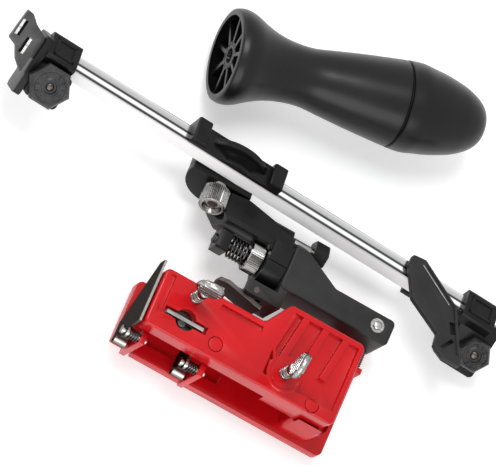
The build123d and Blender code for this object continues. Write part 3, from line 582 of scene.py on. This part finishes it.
def bossWallPiece():
    # the wall that runs down from the notch and round the thumb screw's boss
    x0, y0 = bossWall["centre"]
    path = list(bossWall["shoulder"])
    for i in range(bossWall["steps"] + 1):
        turn = radians(bossWall["start"] + bossWall["sweep"] * i / bossWall["steps"])
        path.append((x0 + bossWall["radius"] * cos(turn), y0 + bossWall["radius"] * sin(turn)))
    half, foot, top = bossWall["wide"] / 2, -bossWall["deep"], bossWall["top"]
    crown, side = half * bossWall["crown"], top - bossWall["edge"]
    section = ((-half, foot), (-half, side), (-crown, top), (crown, top), (half, side),
               (half, foot))
    work = bmesh.new()
    rows = []
    for i, (x, y) in enumerate(path):
        along = Vector(path[min(i + 1, len(path) - 1)]) - Vector(path[max(i - 1, 0)])
        out = Vector((-along.y, along.x)).normalized()
        rows.append([work.verts.new((x + out.x * s, y + out.y * s, z)) for s, z in section])
    skin(work, rows)
    work.faces.new(rows[0])
    work.faces.new(rows[-1])
    finished("bossWall", meshFrom(work, "bossWall", clampPlace), redEnamel, "clamp")


bossWallPiece()


# thumb screws
thumb = {"spots": ((15.8, -6.0), (62.4, -15.8)), "turns": (0, 84), "shank": 2.4, "tip": -12.0,
         "centre": 15.6, "head": 6.1, "thick": 2.6, "edge": 1.25, "ridges": 4, "reach": 0.82,
         "rise": 0.38, "full": 0.4, "ridgeEdge": 0.14, "inHead": 1.5, "neckLow": 2.6,
         "neckHigh": 1.2, "neckGap": 0.02, "neckEdge": 0.4, "tipEdge": 0.3, "pitch": 1.0,
         "crest": 0.16}


def thumbHead(turn):
    # a round flat head on edge, with finger ridges across both faces
    half = thumb["thick"] / 2
    disc = lathe(roundedEnds(thumb["head"], -half, half, thumb["edge"], 6), 72)
    turned(disc, pi / 2, "X")
    works = [disc]
    gap = 2 * thumb["head"] / (thumb["ridges"] + 1)
    for i in range(thumb["ridges"]):
        height = (i + 1) * gap - thumb["head"]
        reach = sqrt(thumb["head"] ** 2 - height ** 2) * thumb["reach"]
        size = (reach * 2, thumb["thick"] + thumb["rise"] * 2, gap * thumb["full"])
        works.append(boxWork(size, (0, 0, height), thumb["ridgeEdge"]))
    head = joined(*works)
    moved(head, (0, 0, thumb["centre"]))
    turned(head, radians(turn), "Z")
    return head


def thumbScrew(side, spot, turn):
    local = clampPlace @ Matrix.Translation((*spot, 0))
    foot = thumb["centre"] - thumb["head"]
    core = thumb["shank"] - thumb["crest"]
    shank = lathe(roundedEnds(core, thumb["tip"], foot + thumb["inHead"], thumb["tipEdge"], 3), 40)
    neck = lathe(roundedEnds(thumb["shank"] - thumb["neckGap"], foot - thumb["neckLow"],
                             foot + thumb["neckHigh"], thumb["neckEdge"], 3), 40)
    screw = meshFrom(joined(shank, neck, thumbHead(turn)), "thumbScrew", local)
    finished(f"thumbScrew_{side}", screw, zincSteel, f"thumb_{side}", (f"thumb_screw_{side}",),
             smooth=35)
    length = foot - thumb["neckLow"] - thumb["tip"]
    grown(f"thumbThread_{side}", threadCrest,
          {"Radius": core, "Turns": length / thumb["pitch"], "Length": length,
           "Crest": thumb["crest"]},
          zincSteel, local @ Matrix.Translation((0, 0, thumb["tip"])), f"thumb_{side}")


for side, spot, turn in zip(("left", "right"), thumb["spots"], thumb["turns"]):
    thumbScrew(side, spot, turn)
print("clamp dressed")

# arm, column and head
softened("swing_arm", "swingArm", armPlastic, "arm", 0.6, 3)
softened("tilt_column", "tiltColumn", blackPlastic, "column", 2.2, 6)
softened("swivel_guide", "swivelGuide", blackPlastic, "guide", 0.3, 2)
softened("square_nut", "squareNut", blackPlastic, "arm", 0.3, 2)

scale = {"count": 37, "from": -160, "to": -20, "radius": 17.2, "height": 8.0,
         "size": (1.7, 0.5, 0.9)}
grown("guideScale", ringBlocks,
      {"Count": scale["count"], "Radius": scale["radius"], "Start": radians(scale["from"]),
       "Step": radians((scale["to"] - scale["from"]) / (scale["count"] - 1)),
       "Height": scale["height"], "Size": scale["size"], "Twist": 0.0},
      blackPlastic, guidePlace, "guide")

knurl = {"floor": 0.5, "full": 0.62, "edge": 0.5, "chamfer": 0.35, "sink": 0.72, "short": 0.9,
         "lip": (0.5, 0.4), "flare": 0.2, "collarHigh": 1.9, "floorSlack": 0.1}
stopNut = {"x": 33.0, "radius": 6.35, "low": 0.0, "high": 6.3, "dish": 4.4, "dishDeep": 1.1,
           "bore": 2.15, "collar": None, "count": 44}
lockNut = {"radius": 5.75, "low": -11.0, "high": -2.0, "dish": 4.0, "dishDeep": 1.8,
           "bore": 2.16, "collar": 3.6, "count": 40}


def knurledPiece(name, nut, matrix, body, node):
    # a dished nut whose floor between the bright blocks of its knurl is darker spring steel,
    # painted shade in the grooves
    radius, low, high, dish, bore = (nut[key] for key in ("radius", "low", "high", "dish", "bore"))
    deep, edge, floor = nut["dishDeep"], knurl["edge"], nut["radius"] - knurl["floor"]
    rim = radius - edge - knurl["chamfer"]
    inset, lipDeep = knurl["lip"]
    profile = [(bore, low + deep), (dish - inset, low + deep), (dish, low + deep * lipDeep),
               (dish + knurl["flare"], low), (rim, low), (floor, low + edge),
               (floor, high - edge), (rim, high)]
    if nut["collar"]:
        top = high + knurl["collarHigh"]
        profile += [(nut["collar"], high), (nut["collar"], top), (bore, top)]
    else:
        profile.append((bore, high))
    mesh = meshFrom(lathe(profile, 64, closed=True), name, matrix)
    # faces out at the knurl's floor take the darker spring steel as painted shade between the
    # blocks
    for material in (zincSteel, springSteel):
        mesh.materials.append(material)
    axis = matrix.to_3x3().col[2].normalized()
    for face in mesh.polygons:
        out = face.center - matrix.translation
        if (out - axis * out.dot(axis)).length > (floor - knurl["floorSlack"]) / 1000:
            face.material_index = 1
    finished(name, mesh, zincSteel, body, (node,), smooth=30)
    wide = 2 * pi * radius / nut["count"] * knurl["full"]
    grown(name + "Knurl", ringBlocks,
          {"Count": nut["count"], "Radius": radius - wide * knurl["sink"], "Start": 0.0,
           "Step": 2 * pi / nut["count"], "Height": (low + high) / 2,
           "Size": (wide, wide, high - low - knurl["short"]), "Twist": pi / 4},
          zincSteel, matrix, body, smooth=0)


knurledPiece("stopNut", stopNut, studPlace(stopNut["x"]), "stop_nut", "knurled_nut")
knurledPiece("lockNut", lockNut, guidePlace, "lock_nut", "lock_knob")

stud = {"radius": 2.1, "left": 17.5, "right": 58.0, "edge": 0.3, "threadLong": 15.5,
        "crest": 0.17, "pitch": 0.9}


def threadedStud():
    matrix = studPlace(stud["left"])
    radius = stud["radius"] - stud["crest"]
    core = lathe(roundedEnds(radius, 0, stud["right"] - stud["left"], stud["edge"], 3), 40)
    finished("tiltStud", meshFrom(core, "tiltStud", matrix), springSteel, "arm", ("tilt_stud",))
    grown("tiltStudThread", threadCrest,
          {"Radius": radius, "Turns": stud["threadLong"] / stud["pitch"],
           "Length": stud["threadLong"], "Crest": stud["crest"]},
          springSteel, matrix, "arm")


threadedStud()

# each pair of the dome is a share of the head's radius and the drop under its top
hingeHead = {"spot": (92.9, 25.8), "radius": 1.75, "low": -9.1, "high": -8.2, "foot": -33.8,
             "shank": 1.7, "dome": ((1, 0.5), (0.85, 0.25), (0.55, 0.07))}


def hingePinHead():
    top, low, foot = hingeHead["high"], hingeHead["low"], hingeHead["foot"]
    radius, shank = hingeHead["radius"], hingeHead["shank"]
    profile = [(0, foot), (shank, foot), (shank, low), (radius, low)]
    profile += [(radius * share, top - drop) for share, drop in hingeHead["dome"]]
    profile.append((0, top))
    matrix = clampPlace @ Matrix.Translation((*hingeHead["spot"], 0))
    finished("hingePin", meshFrom(lathe(profile, 48), "hingePin", matrix), zincSteel, "clamp",
             ("hinge_pin",), smooth=35)


hingePinHead()
print("arm and head dressed")

# brackets, jaw and paddle
for node, name, material in (("bracket_left", "bracketLeft", blackPlastic),
                             ("bracket_right", "bracketRight", blackPlastic),
                             ("jaw_left", "jawLeft", greyPlastic)):
    softened(node, name, material, "filing_frame", 0.5, 3)

# each slot is its middle's x and z, its length, its width and its turn
paddle = {"face": -6.7, "deep": 1.9,
          "slots": ((111.3, -24.7, 7.4, 1.7, 58), (111.4, -16.4, 5.6, 2.6, 110)),
          "rim": ((93.4, 4.2), (109.6, -6.3), (116.9, -26.2)), "rimWide": 1.0, "rimHigh": 0.6,
          "edgeHighlight": ((90.8, 3.4), (106.6, -6.9)), "edgeHighlightWide": 0.6, "edgeHighlightHigh": 0.36,
          "strokeEdge": 0.2}


def paddleStroke(start, end, wide, high):
    # a bar lying on the paddle's front face between two points
    (x0, z0), (x1, z1) = start, end
    long = sqrt((x1 - x0) ** 2 + (z1 - z0) ** 2) + wide
    stroke = boxWork((long, high * 2, wide), bevel=wide * paddle["strokeEdge"])
    turned(stroke, -Vector((x1 - x0, z1 - z0)).angle_signed(Vector((1, 0))), "Y")
    moved(stroke, ((x0 + x1) / 2, paddle["face"], (z0 + z1) / 2))
    return stroke


def paddlePieces():
    # two slots sunk in the paddle, a rim along its outer edge and, beside it, a bright zinc strip
    # that is a painted highlight along that edge
    piece = softened("paddle_right", "paddleRight", armPlastic, "filing_frame", 0.5, 3)
    cutters = []
    for x, z, long, wide, turn in paddle["slots"]:
        cutter = boxWork((long, paddle["deep"] * 2, wide), bevel=0)
        turned(cutter, -radians(turn), "Y")
        moved(cutter, (x, paddle["face"], z))
        bmesh.ops.transform(cutter, verts=cutter.verts, matrix=barPlace)
        cutters.append(cutter)
    piece.data = carved(piece.data, joined(*cutters))
    smoothed(piece.data, softEdge["sharpFrom"])
    rims = [paddleStroke(a, b, paddle["rimWide"], paddle["rimHigh"])
            for a, b in zip(paddle["rim"], paddle["rim"][1:])]
    finished("paddleRim", meshFrom(joined(*rims), "paddleRim", barPlace), armPlastic,
             "filing_frame")
    # a bright zinc strip beside the rim: a painted highlight along the paddle's edge
    edgeHighlight = paddleStroke(*paddle["edgeHighlight"], paddle["edgeHighlightWide"], paddle["edgeHighlightHigh"])
    finished("paddleEdgeHighlight", meshFrom(edgeHighlight, "paddleEdgeHighlight", barPlace), zincSteel, "filing_frame")


paddlePieces()

jawSlots = {"spots": ((-106.9, 3.5), (-101.6, -2.0)), "long": 7.0, "wide": 2.4, "lift": 2.0,
            "thick": 0.5}


def slotFloors():
    # dark web at the bottom of the outer plate's slots, under the bright strips
    size = (jawSlots["wide"], jawSlots["long"], jawSlots["thick"])
    middle = jawSlots["lift"] + jawSlots["thick"] / 2
    works = [boxWork(size, (x, y, middle), 0) for x, y in jawSlots["spots"]]
    finished("slotFloors", meshFrom(joined(*works), "slotFloors", knobPlace), blackPlastic,
             "filing_frame")


slotFloors()

# each pad is its middle's x, its length and its height
sheathPads = {"pads": ((-86.1, 9.6, 8.4), (121.5, 11.0, 8.4)), "face": -6.7, "rise": 0.45,
              "rim": 1.3}


def sheathPadPieces():
    # a raised rim with a sunk middle on the front of each end block
    works = []
    face, thick, rim = sheathPads["face"], sheathPads["rise"] * 2, sheathPads["rim"]
    for x, long, high in sheathPads["pads"]:
        up, out = (high - rim) / 2, (long - rim) / 2
        for dx, dz, sx, sz in ((0, up, long, rim), (0, -up, long, rim), (out, 0, rim, high),
                               (-out, 0, rim, high)):
            works.append(boxWork((sx, thick, sz), (x + dx, face, dz)))
    finished("sheathPads", meshFrom(joined(*works), "sheathPads", barPlace), blackPlastic,
             "filing_frame")


sheathPadPieces()

# knobs
knobs = {"left": {"x": -85.8, "drop": 10.0, "lift": 9.5, "radius": 9.4, "thick": 5.0,
                  "screwFoot": -9.0},
         "right": {"x": 128.5, "drop": 12.4, "lift": 5.4, "radius": 7.5, "thick": 4.6,
                   "screwFoot": -7.0}}
knobShape = {"foot": 0.94, "footHigh": 0.5, "rim": 0.88, "rimHigh": 1.3, "dish": (0.70, 0.66),
             "dishDeep": 0.35, "wall": 0.9, "wallTop": 0.5, "wallDrop": 0.1, "hollow": 2.9,
             "hollowDeep": 1.2, "hollowTaper": 0.2, "steps": 36, "screw": 2.05,
             "screwRise": 0.7, "screwEdge": 1.5}
creases = {"count": 12, "start": 15, "from": 0.5, "to": 0.86, "flat": 0.866, "wide": 0.4,
           "high": 0.36, "sink": 0.9}


def hexKnob(side, values, matrix):
    # a six sided knob with a bevelled rim, a round dish and a hollow for the screw's end
    low, high = values["lift"], values["lift"] + values["thick"]
    radius, hollow, steps = values["radius"], knobShape["hollow"], knobShape["steps"]
    floor, wallTop = high - knobShape["dishDeep"], high - knobShape["wallDrop"]
    work = bmesh.new()
    rings = [circleOf(work, r, z, 6) for r, z in (
        (radius * knobShape["foot"], low), (radius, low + knobShape["footHigh"]),
        (radius, high - knobShape["rimHigh"]), (radius * knobShape["rim"], high))]
    skin(work, rings)
    work.faces.new(list(reversed(rings[0])))
    circles = [circleOf(work, r, z, steps) for r, z in (
        (radius * knobShape["dish"][0], high), (radius * knobShape["dish"][1], floor),
        (hollow + knobShape["wall"], floor), (hollow + knobShape["wallTop"], wallTop),
        (hollow, wallTop),
        (hollow - knobShape["hollowTaper"], high - knobShape["hollowDeep"]))]
    outer, inner = rings[-1], circles[0]
    for i in range(steps):
        j = (i + 1) % steps
        corner, following = outer[i * 6 // steps], outer[(i + 1) * 6 // steps % 6]
        corners = (corner,) if corner is following else (corner, following)
        work.faces.new((*corners, inner[j], inner[i]))
    skin(work, circles)
    work.faces.new(circles[-1])
    finished(f"knob_{side}", meshFrom(work, "knob", matrix), knobPlastic, f"knob_{side}",
             (f"file_knob_{side}",), smooth=25)


def screwEnd(side, values, matrix):
    # the knob's screw, with a rounded end in the hollow
    top = values["lift"] + values["thick"] - knobShape["hollowDeep"] + knobShape["screwRise"]
    core = lathe(roundedEnds(knobShape["screw"], values["screwFoot"], top,
                             knobShape["screwEdge"], 5), 36)
    finished(f"knobScrew_{side}", meshFrom(core, "knobScrew", matrix), darkSteel, "filing_frame",
             (f"knob_screw_{side}",), smooth=35)


def knobCreases(side, values, matrix):
    # short rays on the knob's flat rim and dish
    inner = values["radius"] * creases["from"]
    outer = values["radius"] * creases["to"] * creases["flat"]
    grown(f"knobCreases_{side}", ringBlocks,
          {"Count": creases["count"], "Radius": (inner + outer) / 2,
           "Start": radians(creases["start"]), "Step": 2 * pi / creases["count"],
           "Height": values["lift"] + values["thick"] - creases["high"] * creases["sink"],
           "Size": (outer - inner, creases["wide"], creases["high"] * 2), "Twist": 0.0},
          knobPlastic, matrix, f"knob_{side}", smooth=0)


for side, values in knobs.items():
    matrix = knobPlace @ Matrix.Translation((values["x"], -values["drop"], 0))
    for make in (hexKnob, screwEnd, knobCreases):
        make(side, values, matrix)

# each pair of the dome is a share of the head's radius and a height
crossScrews = {"spots": ((-88.0, 0.0, 6.7), (101.4, 5.5, 7.0)), "turn": 0.5, "radius": 2.6,
               "high": 1.6, "dome": ((1, 0), (1, 0.5), (0.86, 1.1), (0.6, 1.5)), "shank": 1.2,
               "shankLong": 3.0, "slot": (3.4, 0.7, 2.0), "slotLift": 0.3}


def crossHead():
    # a pan head with a cross recess, cut by two crossing slots
    shank, foot = crossScrews["shank"], -crossScrews["shankLong"]
    profile = [(0, foot), (shank, foot), (shank, 0)]
    profile += [(crossScrews["radius"] * share, z) for share, z in crossScrews["dome"]]
    dome = lathe(profile + [(0, crossScrews["high"])], 48)
    long, wide, deep = crossScrews["slot"]
    middle = (0, 0, crossScrews["high"] + crossScrews["slotLift"])
    cutter = joined(boxWork((long, wide, deep), middle, 0), boxWork((wide, long, deep), middle, 0))
    return carved(meshFrom(dome), cutter)


def bracketScrewPieces():
    head = crossHead()
    whole = bmesh.new()
    for x, y, z in crossScrews["spots"]:
        copy = head.copy()
        turn = Matrix.Rotation(crossScrews["turn"] + x, 4, "Z")
        copy.transform(Matrix.Translation((x, y, z)) @ turn)
        whole.from_mesh(copy)
        bpy.data.meshes.remove(copy)
    mesh = bpy.data.meshes.new("bracketScrews")
    whole.to_mesh(mesh)
    whole.free()
    mesh.transform(barPlace)
    finished("bracketScrews", mesh, zincSteel, "filing_frame", ("bracket_screws",),
             smooth=35)


bracketScrewPieces()
print("brackets and knobs dressed")

# handle: gripPoints and capPoints are radius and distance from the mouth, in mm
handle = {"origin": (-10.15, 98.95), "turn": 14.1, "tableDrop": -35.0, "wall": 2.6,
          "mouthDeep": 26.0, "lip": ((1.5, 0.0), (0.4, 0.05)), "ribs": 9, "ribThick": 1.6,
          "ribBack": 2.0, "ribLead": 0.5, "hub": 5.6, "hubLap": 0.6, "hubEdge": 0.3,
          "ribLap": 0.4, "wallLap": 0.3, "bore": 3.2, "tube": 1.2, "tubeEdge": 0.4,
          "socketFloor": 20.0, "socketBack": 24.0, "socketGap": 0.01, "socketEdge": (0.2, 0.3),
          "steps": 96, "curveSteps": 6,
          "endEdge": ((0.1, 0.5), (0.5, 0.1)), "seam": 0.4, "seamDeep": 1.0,
          "capEdge": ((0.4, 0.04), (-0.06, 0.5)), "capTip": ((3.0, 0.1), (1.5, 0.02))}
gripPoints = ((19.3, 0.0), (20.1, 3.5), (19.2, 8.0), (16.4, 14.0), (14.2, 20.0), (12.8, 27.0),
              (12.4, 36.0), (13.9, 46.0), (15.7, 57.0), (17.1, 67.0), (18.4, 76.7))
capPoints = ((18.5, 77.3), (18.9, 83.5), (18.1, 89.0), (17.1, 95.0), (15.6, 101.0),
             (13.9, 106.0), (11.2, 111.0), (7.8, 114.5), (3.0, 116.5))
handleTeeth = {"socketTeeth": {"count": 14, "radius": 3.3, "height": 8.6, "twist": pi / 4,
                               "size": (0.5, 0.5, 13.0), "slot": "zinc_steel"},
               "hubTeeth": {"count": 16, "radius": 5.5, "height": 3.6, "twist": 0.0,
                            "size": (1.0, 1.0, 3.4), "slot": "black_gloss"}}
handleTurn = radians(handle["turn"])
handlePlace = axes(place(*handle["origin"], handle["tableDrop"] + max(r for r, s in gripPoints)),
                   (sin(handleTurn), -cos(handleTurn), 0), (cos(handleTurn), sin(handleTurn), 0))


def handlePiece(name, work, replaced=(), smooth=45):
    finished(name, meshFrom(work, name, handlePlace), handlePlastic, "handle", replaced,
             smooth)


def handleShell():
    # the grip: a wall round the open mouth, solid behind it
    outer = curveThrough(gripPoints, handle["curveSteps"])
    deep, mouth, (radius, back) = handle["mouthDeep"], outer[0][0], outer[-1]
    inner = [(r - handle["wall"], s) for r, s in reversed(outer) if s < deep]
    lip = [(mouth - inset, s) for inset, s in handle["lip"]]
    edge = [(radius - inset, back - drop) for inset, drop in handle["endEdge"]]
    profile = [(0, deep), (handle["hub"] - handle["hubLap"], deep), (inner[0][0], deep), *inner,
               *lip, *outer[1:-1], *edge, (radius - handle["seamDeep"], back), (0, back)]
    handlePiece("handleShell", lathe(profile, handle["steps"]), ("grip",))


def handleRibs():
    # a hub in the mouth, and ribs that follow its inner wall, so they narrow inwards
    deep, back, hub = handle["mouthDeep"], handle["ribBack"], handle["hub"]
    wallLine = [(r - handle["wall"] + handle["wallLap"], s)
                for r, s in curveThrough(gripPoints, handle["curveSteps"])
                if back - handle["ribLead"] < s < deep]
    root = hub - handle["ribLap"]
    works = []
    for i in range(handle["ribs"]):
        rib = prismWork([(root, back), *wallLine, (root, deep)], -handle["ribThick"] / 2,
                        handle["ribThick"] / 2)
        turned(rib, pi / 2, "X")
        turned(rib, 2 * pi * i / handle["ribs"], "Z")
        works.append(rib)
    tube, edge = handle["bore"] + handle["tube"], handle["hubEdge"]
    ring = lathe([(tube, deep), (tube, back + handle["tubeEdge"]), (tube + edge, back),
                  (hub - edge, back), (hub, back + edge), (hub, deep)], 64, closed=True)
    handlePiece("handleRibs", joined(ring, *works), smooth=40)


def fileSocket():
    # the tube that the file's tang goes into
    bore, back = handle["bore"], handle["ribBack"]
    tube = bore + handle["tube"] - handle["socketGap"]
    floor, end = handle["socketFloor"], handle["socketBack"]
    flare, deep = handle["socketEdge"]
    socket = lathe([(0, floor), (bore, floor), (bore, back + deep), (bore + flare, back),
                    (tube, back), (tube, end), (0, end)], 64)
    handlePiece("fileSocket", socket, ("file_socket",), 35)


def teethRings():
    for name, teeth in handleTeeth.items():
        grown(name, ringBlocks,
              {"Count": teeth["count"], "Radius": teeth["radius"], "Start": 0.0,
               "Step": 2 * pi / teeth["count"], "Height": teeth["height"],
               "Size": teeth["size"], "Twist": teeth["twist"]},
              handlePlastic, handlePlace, "handle", smooth=0)


def handleCap():
    # the rounded end cap, with a fine seam where it meets the grip
    cap = curveThrough(capPoints, handle["curveSteps"])
    (radius, low), top = cap[0], cap[-1][1]
    sunk = radius - handle["seamDeep"]
    edge = [(radius - inset, low + rise) for inset, rise in handle["capEdge"]]
    tip = [(r, top - drop) for r, drop in handle["capTip"]]
    profile = [(0, low - handle["seam"]), (sunk, low - handle["seam"]), (sunk, low), *edge,
               *cap[1:-1], *tip, (0, top)]
    handlePiece("handleCap", lathe(profile, handle["steps"]), ("end_cap",))


for make in (handleShell, handleRibs, fileSocket, teethRings, handleCap):
    make()
print("handle dressed")

# finishes of the nodes that stay
plainNodes = (
    (zincSteel, ("locating_key", "pressure_pad_left", "pressure_pad_right", "hinge_bush",
                 "plate_screws", "tilt_clamp_screw", "jaw_strips", "flap_pin_left",
                 "flap_pin_right")),
    (stripSteel, ("flap_left", "flap_right")),
    (darkSteel, ("swivel_bolt", "stop_pin", "key_washer", "tooth_stop", "spring_post")),
    (springSteel, ("flap_spring_left", "flap_spring_right", "return_spring", "tilt_spring")),
    (brightBar, ("filing_bar",)),
    (blackPlastic, ("tilt_knob",)))
for material, names in plainNodes:
    for name in names:
        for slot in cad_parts[name].material_slots:
            slot.material = material
print("nodes finished")

# floor, light and camera
stageLook = {"floor": (0.86, 0.86, 0.87), "rough": 0.9, "glow": 0.42, "size": 6.0,
             "drop": 0.0002, "world": 0.36}
lights = {"keyLight": {"spot": (-0.3, 0.25, 1.2), "size": 0.6, "power": 8.0},
          "fillLight": {"spot": (0.1, -1.0, 0.62), "size": 0.9, "power": 7.0},
          "rimLight": {"spot": (-0.9, 0.8, 0.6), "size": 0.6, "power": 3.0}}


def floorPiece():
    material, tree, shader = emptyMaterial("paleFloor")
    path = newNode(tree, "ShaderNodeLightPath").outputs
    seen = mathNode(tree, "MAXIMUM", path["Is Camera Ray"], path["Is Glossy Ray"])
    seen = mathNode(tree, "MAXIMUM", seen, path["Is Transmission Ray"])
    feed(tree, shader, {
        "Base Color": (*stageLook["floor"], 1), "Roughness": stageLook["rough"],
        "Specular IOR Level": 0.0, "Emission Color": (1, 1, 1, 1),
        "Emission Strength": mathNode(tree, "MULTIPLY", seen, stageLook["glow"])})
    work = bmesh.new()
    bmesh.ops.create_grid(work, x_segments=1, y_segments=1, size=stageLook["size"] / 2)
    mesh = bpy.data.meshes.new("floor")
    work.to_mesh(mesh)
    work.free()
    mesh.transform(Matrix.Translation((0, 0, -stageLook["drop"])))
    mesh.materials.append(material)
    added("floor", mesh)


def worldLight():
    # full white for the camera and for reflections, dimmer as a light
    world = bpy.data.worlds.new("studio")
    world.use_nodes = True
    tree = world.node_tree
    path = newNode(tree, "ShaderNodeLightPath").outputs
    seen = mathNode(tree, "MAXIMUM", path["Is Camera Ray"], path["Is Glossy Ray"])
    feed(tree, tree.nodes["Background"], {
        "Color": (1, 1, 1, 1), "Strength": rangeNode(tree, seen, stageLook["world"], 1.0)})
    bpy.context.scene.world = world


def areaLight(name, spot, size, power):
    data = bpy.data.lights.new(name, "AREA")
    data.shape = "DISK"
    data.size = size
    data.energy = power
    lamp = added(name, data)
    lamp.location = spot
    lamp.rotation_euler = (-Vector(spot)).to_track_quat("-Z", "Y").to_euler()


# corner is the clamp corner's pixel in the photograph
photoView = {"right": (0.843, 0.372, 0.385), "up": (-0.475, 0.851, 0.217),
             "back": (-0.248, -0.367, 0.896), "pixelsPerMm": 2.5, "corner": (165.8, 265.6),
             "image": (496, 472), "distance": 3000, "sensor": 36, "clipEnd": 50}


def photoCamera():
    right, up, back = (Vector(photoView[key]).normalized() for key in ("right", "up", "back"))
    (wide, high), (x, y) = photoView["image"], photoView["corner"]
    across = (wide / 2 - x) / photoView["pixelsPerMm"]
    rise = (y - high / 2) / photoView["pixelsPerMm"]
    distance, sensor = photoView["distance"], photoView["sensor"]
    camera = added("photoCamera", bpy.data.cameras.new("photoCamera"))
    camera.data.sensor_width = sensor
    camera.data.lens = photoView["pixelsPerMm"] * distance / wide * sensor
    camera.data.clip_end = photoView["clipEnd"]
    turn = Matrix((right, back.cross(right), back)).transposed().to_4x4()
    spot = clampCorner + (right * across + up * rise + back * distance) / 1000
    camera.matrix_world = Matrix.Translation(spot) @ turn
    bpy.context.scene.camera = camera


floorPiece()
worldLight()
for name, lamp in lights.items():
    areaLight(name, **lamp)
photoCamera()
bpy.context.scene.view_settings.view_transform = "Standard"
print("stage and camera set")
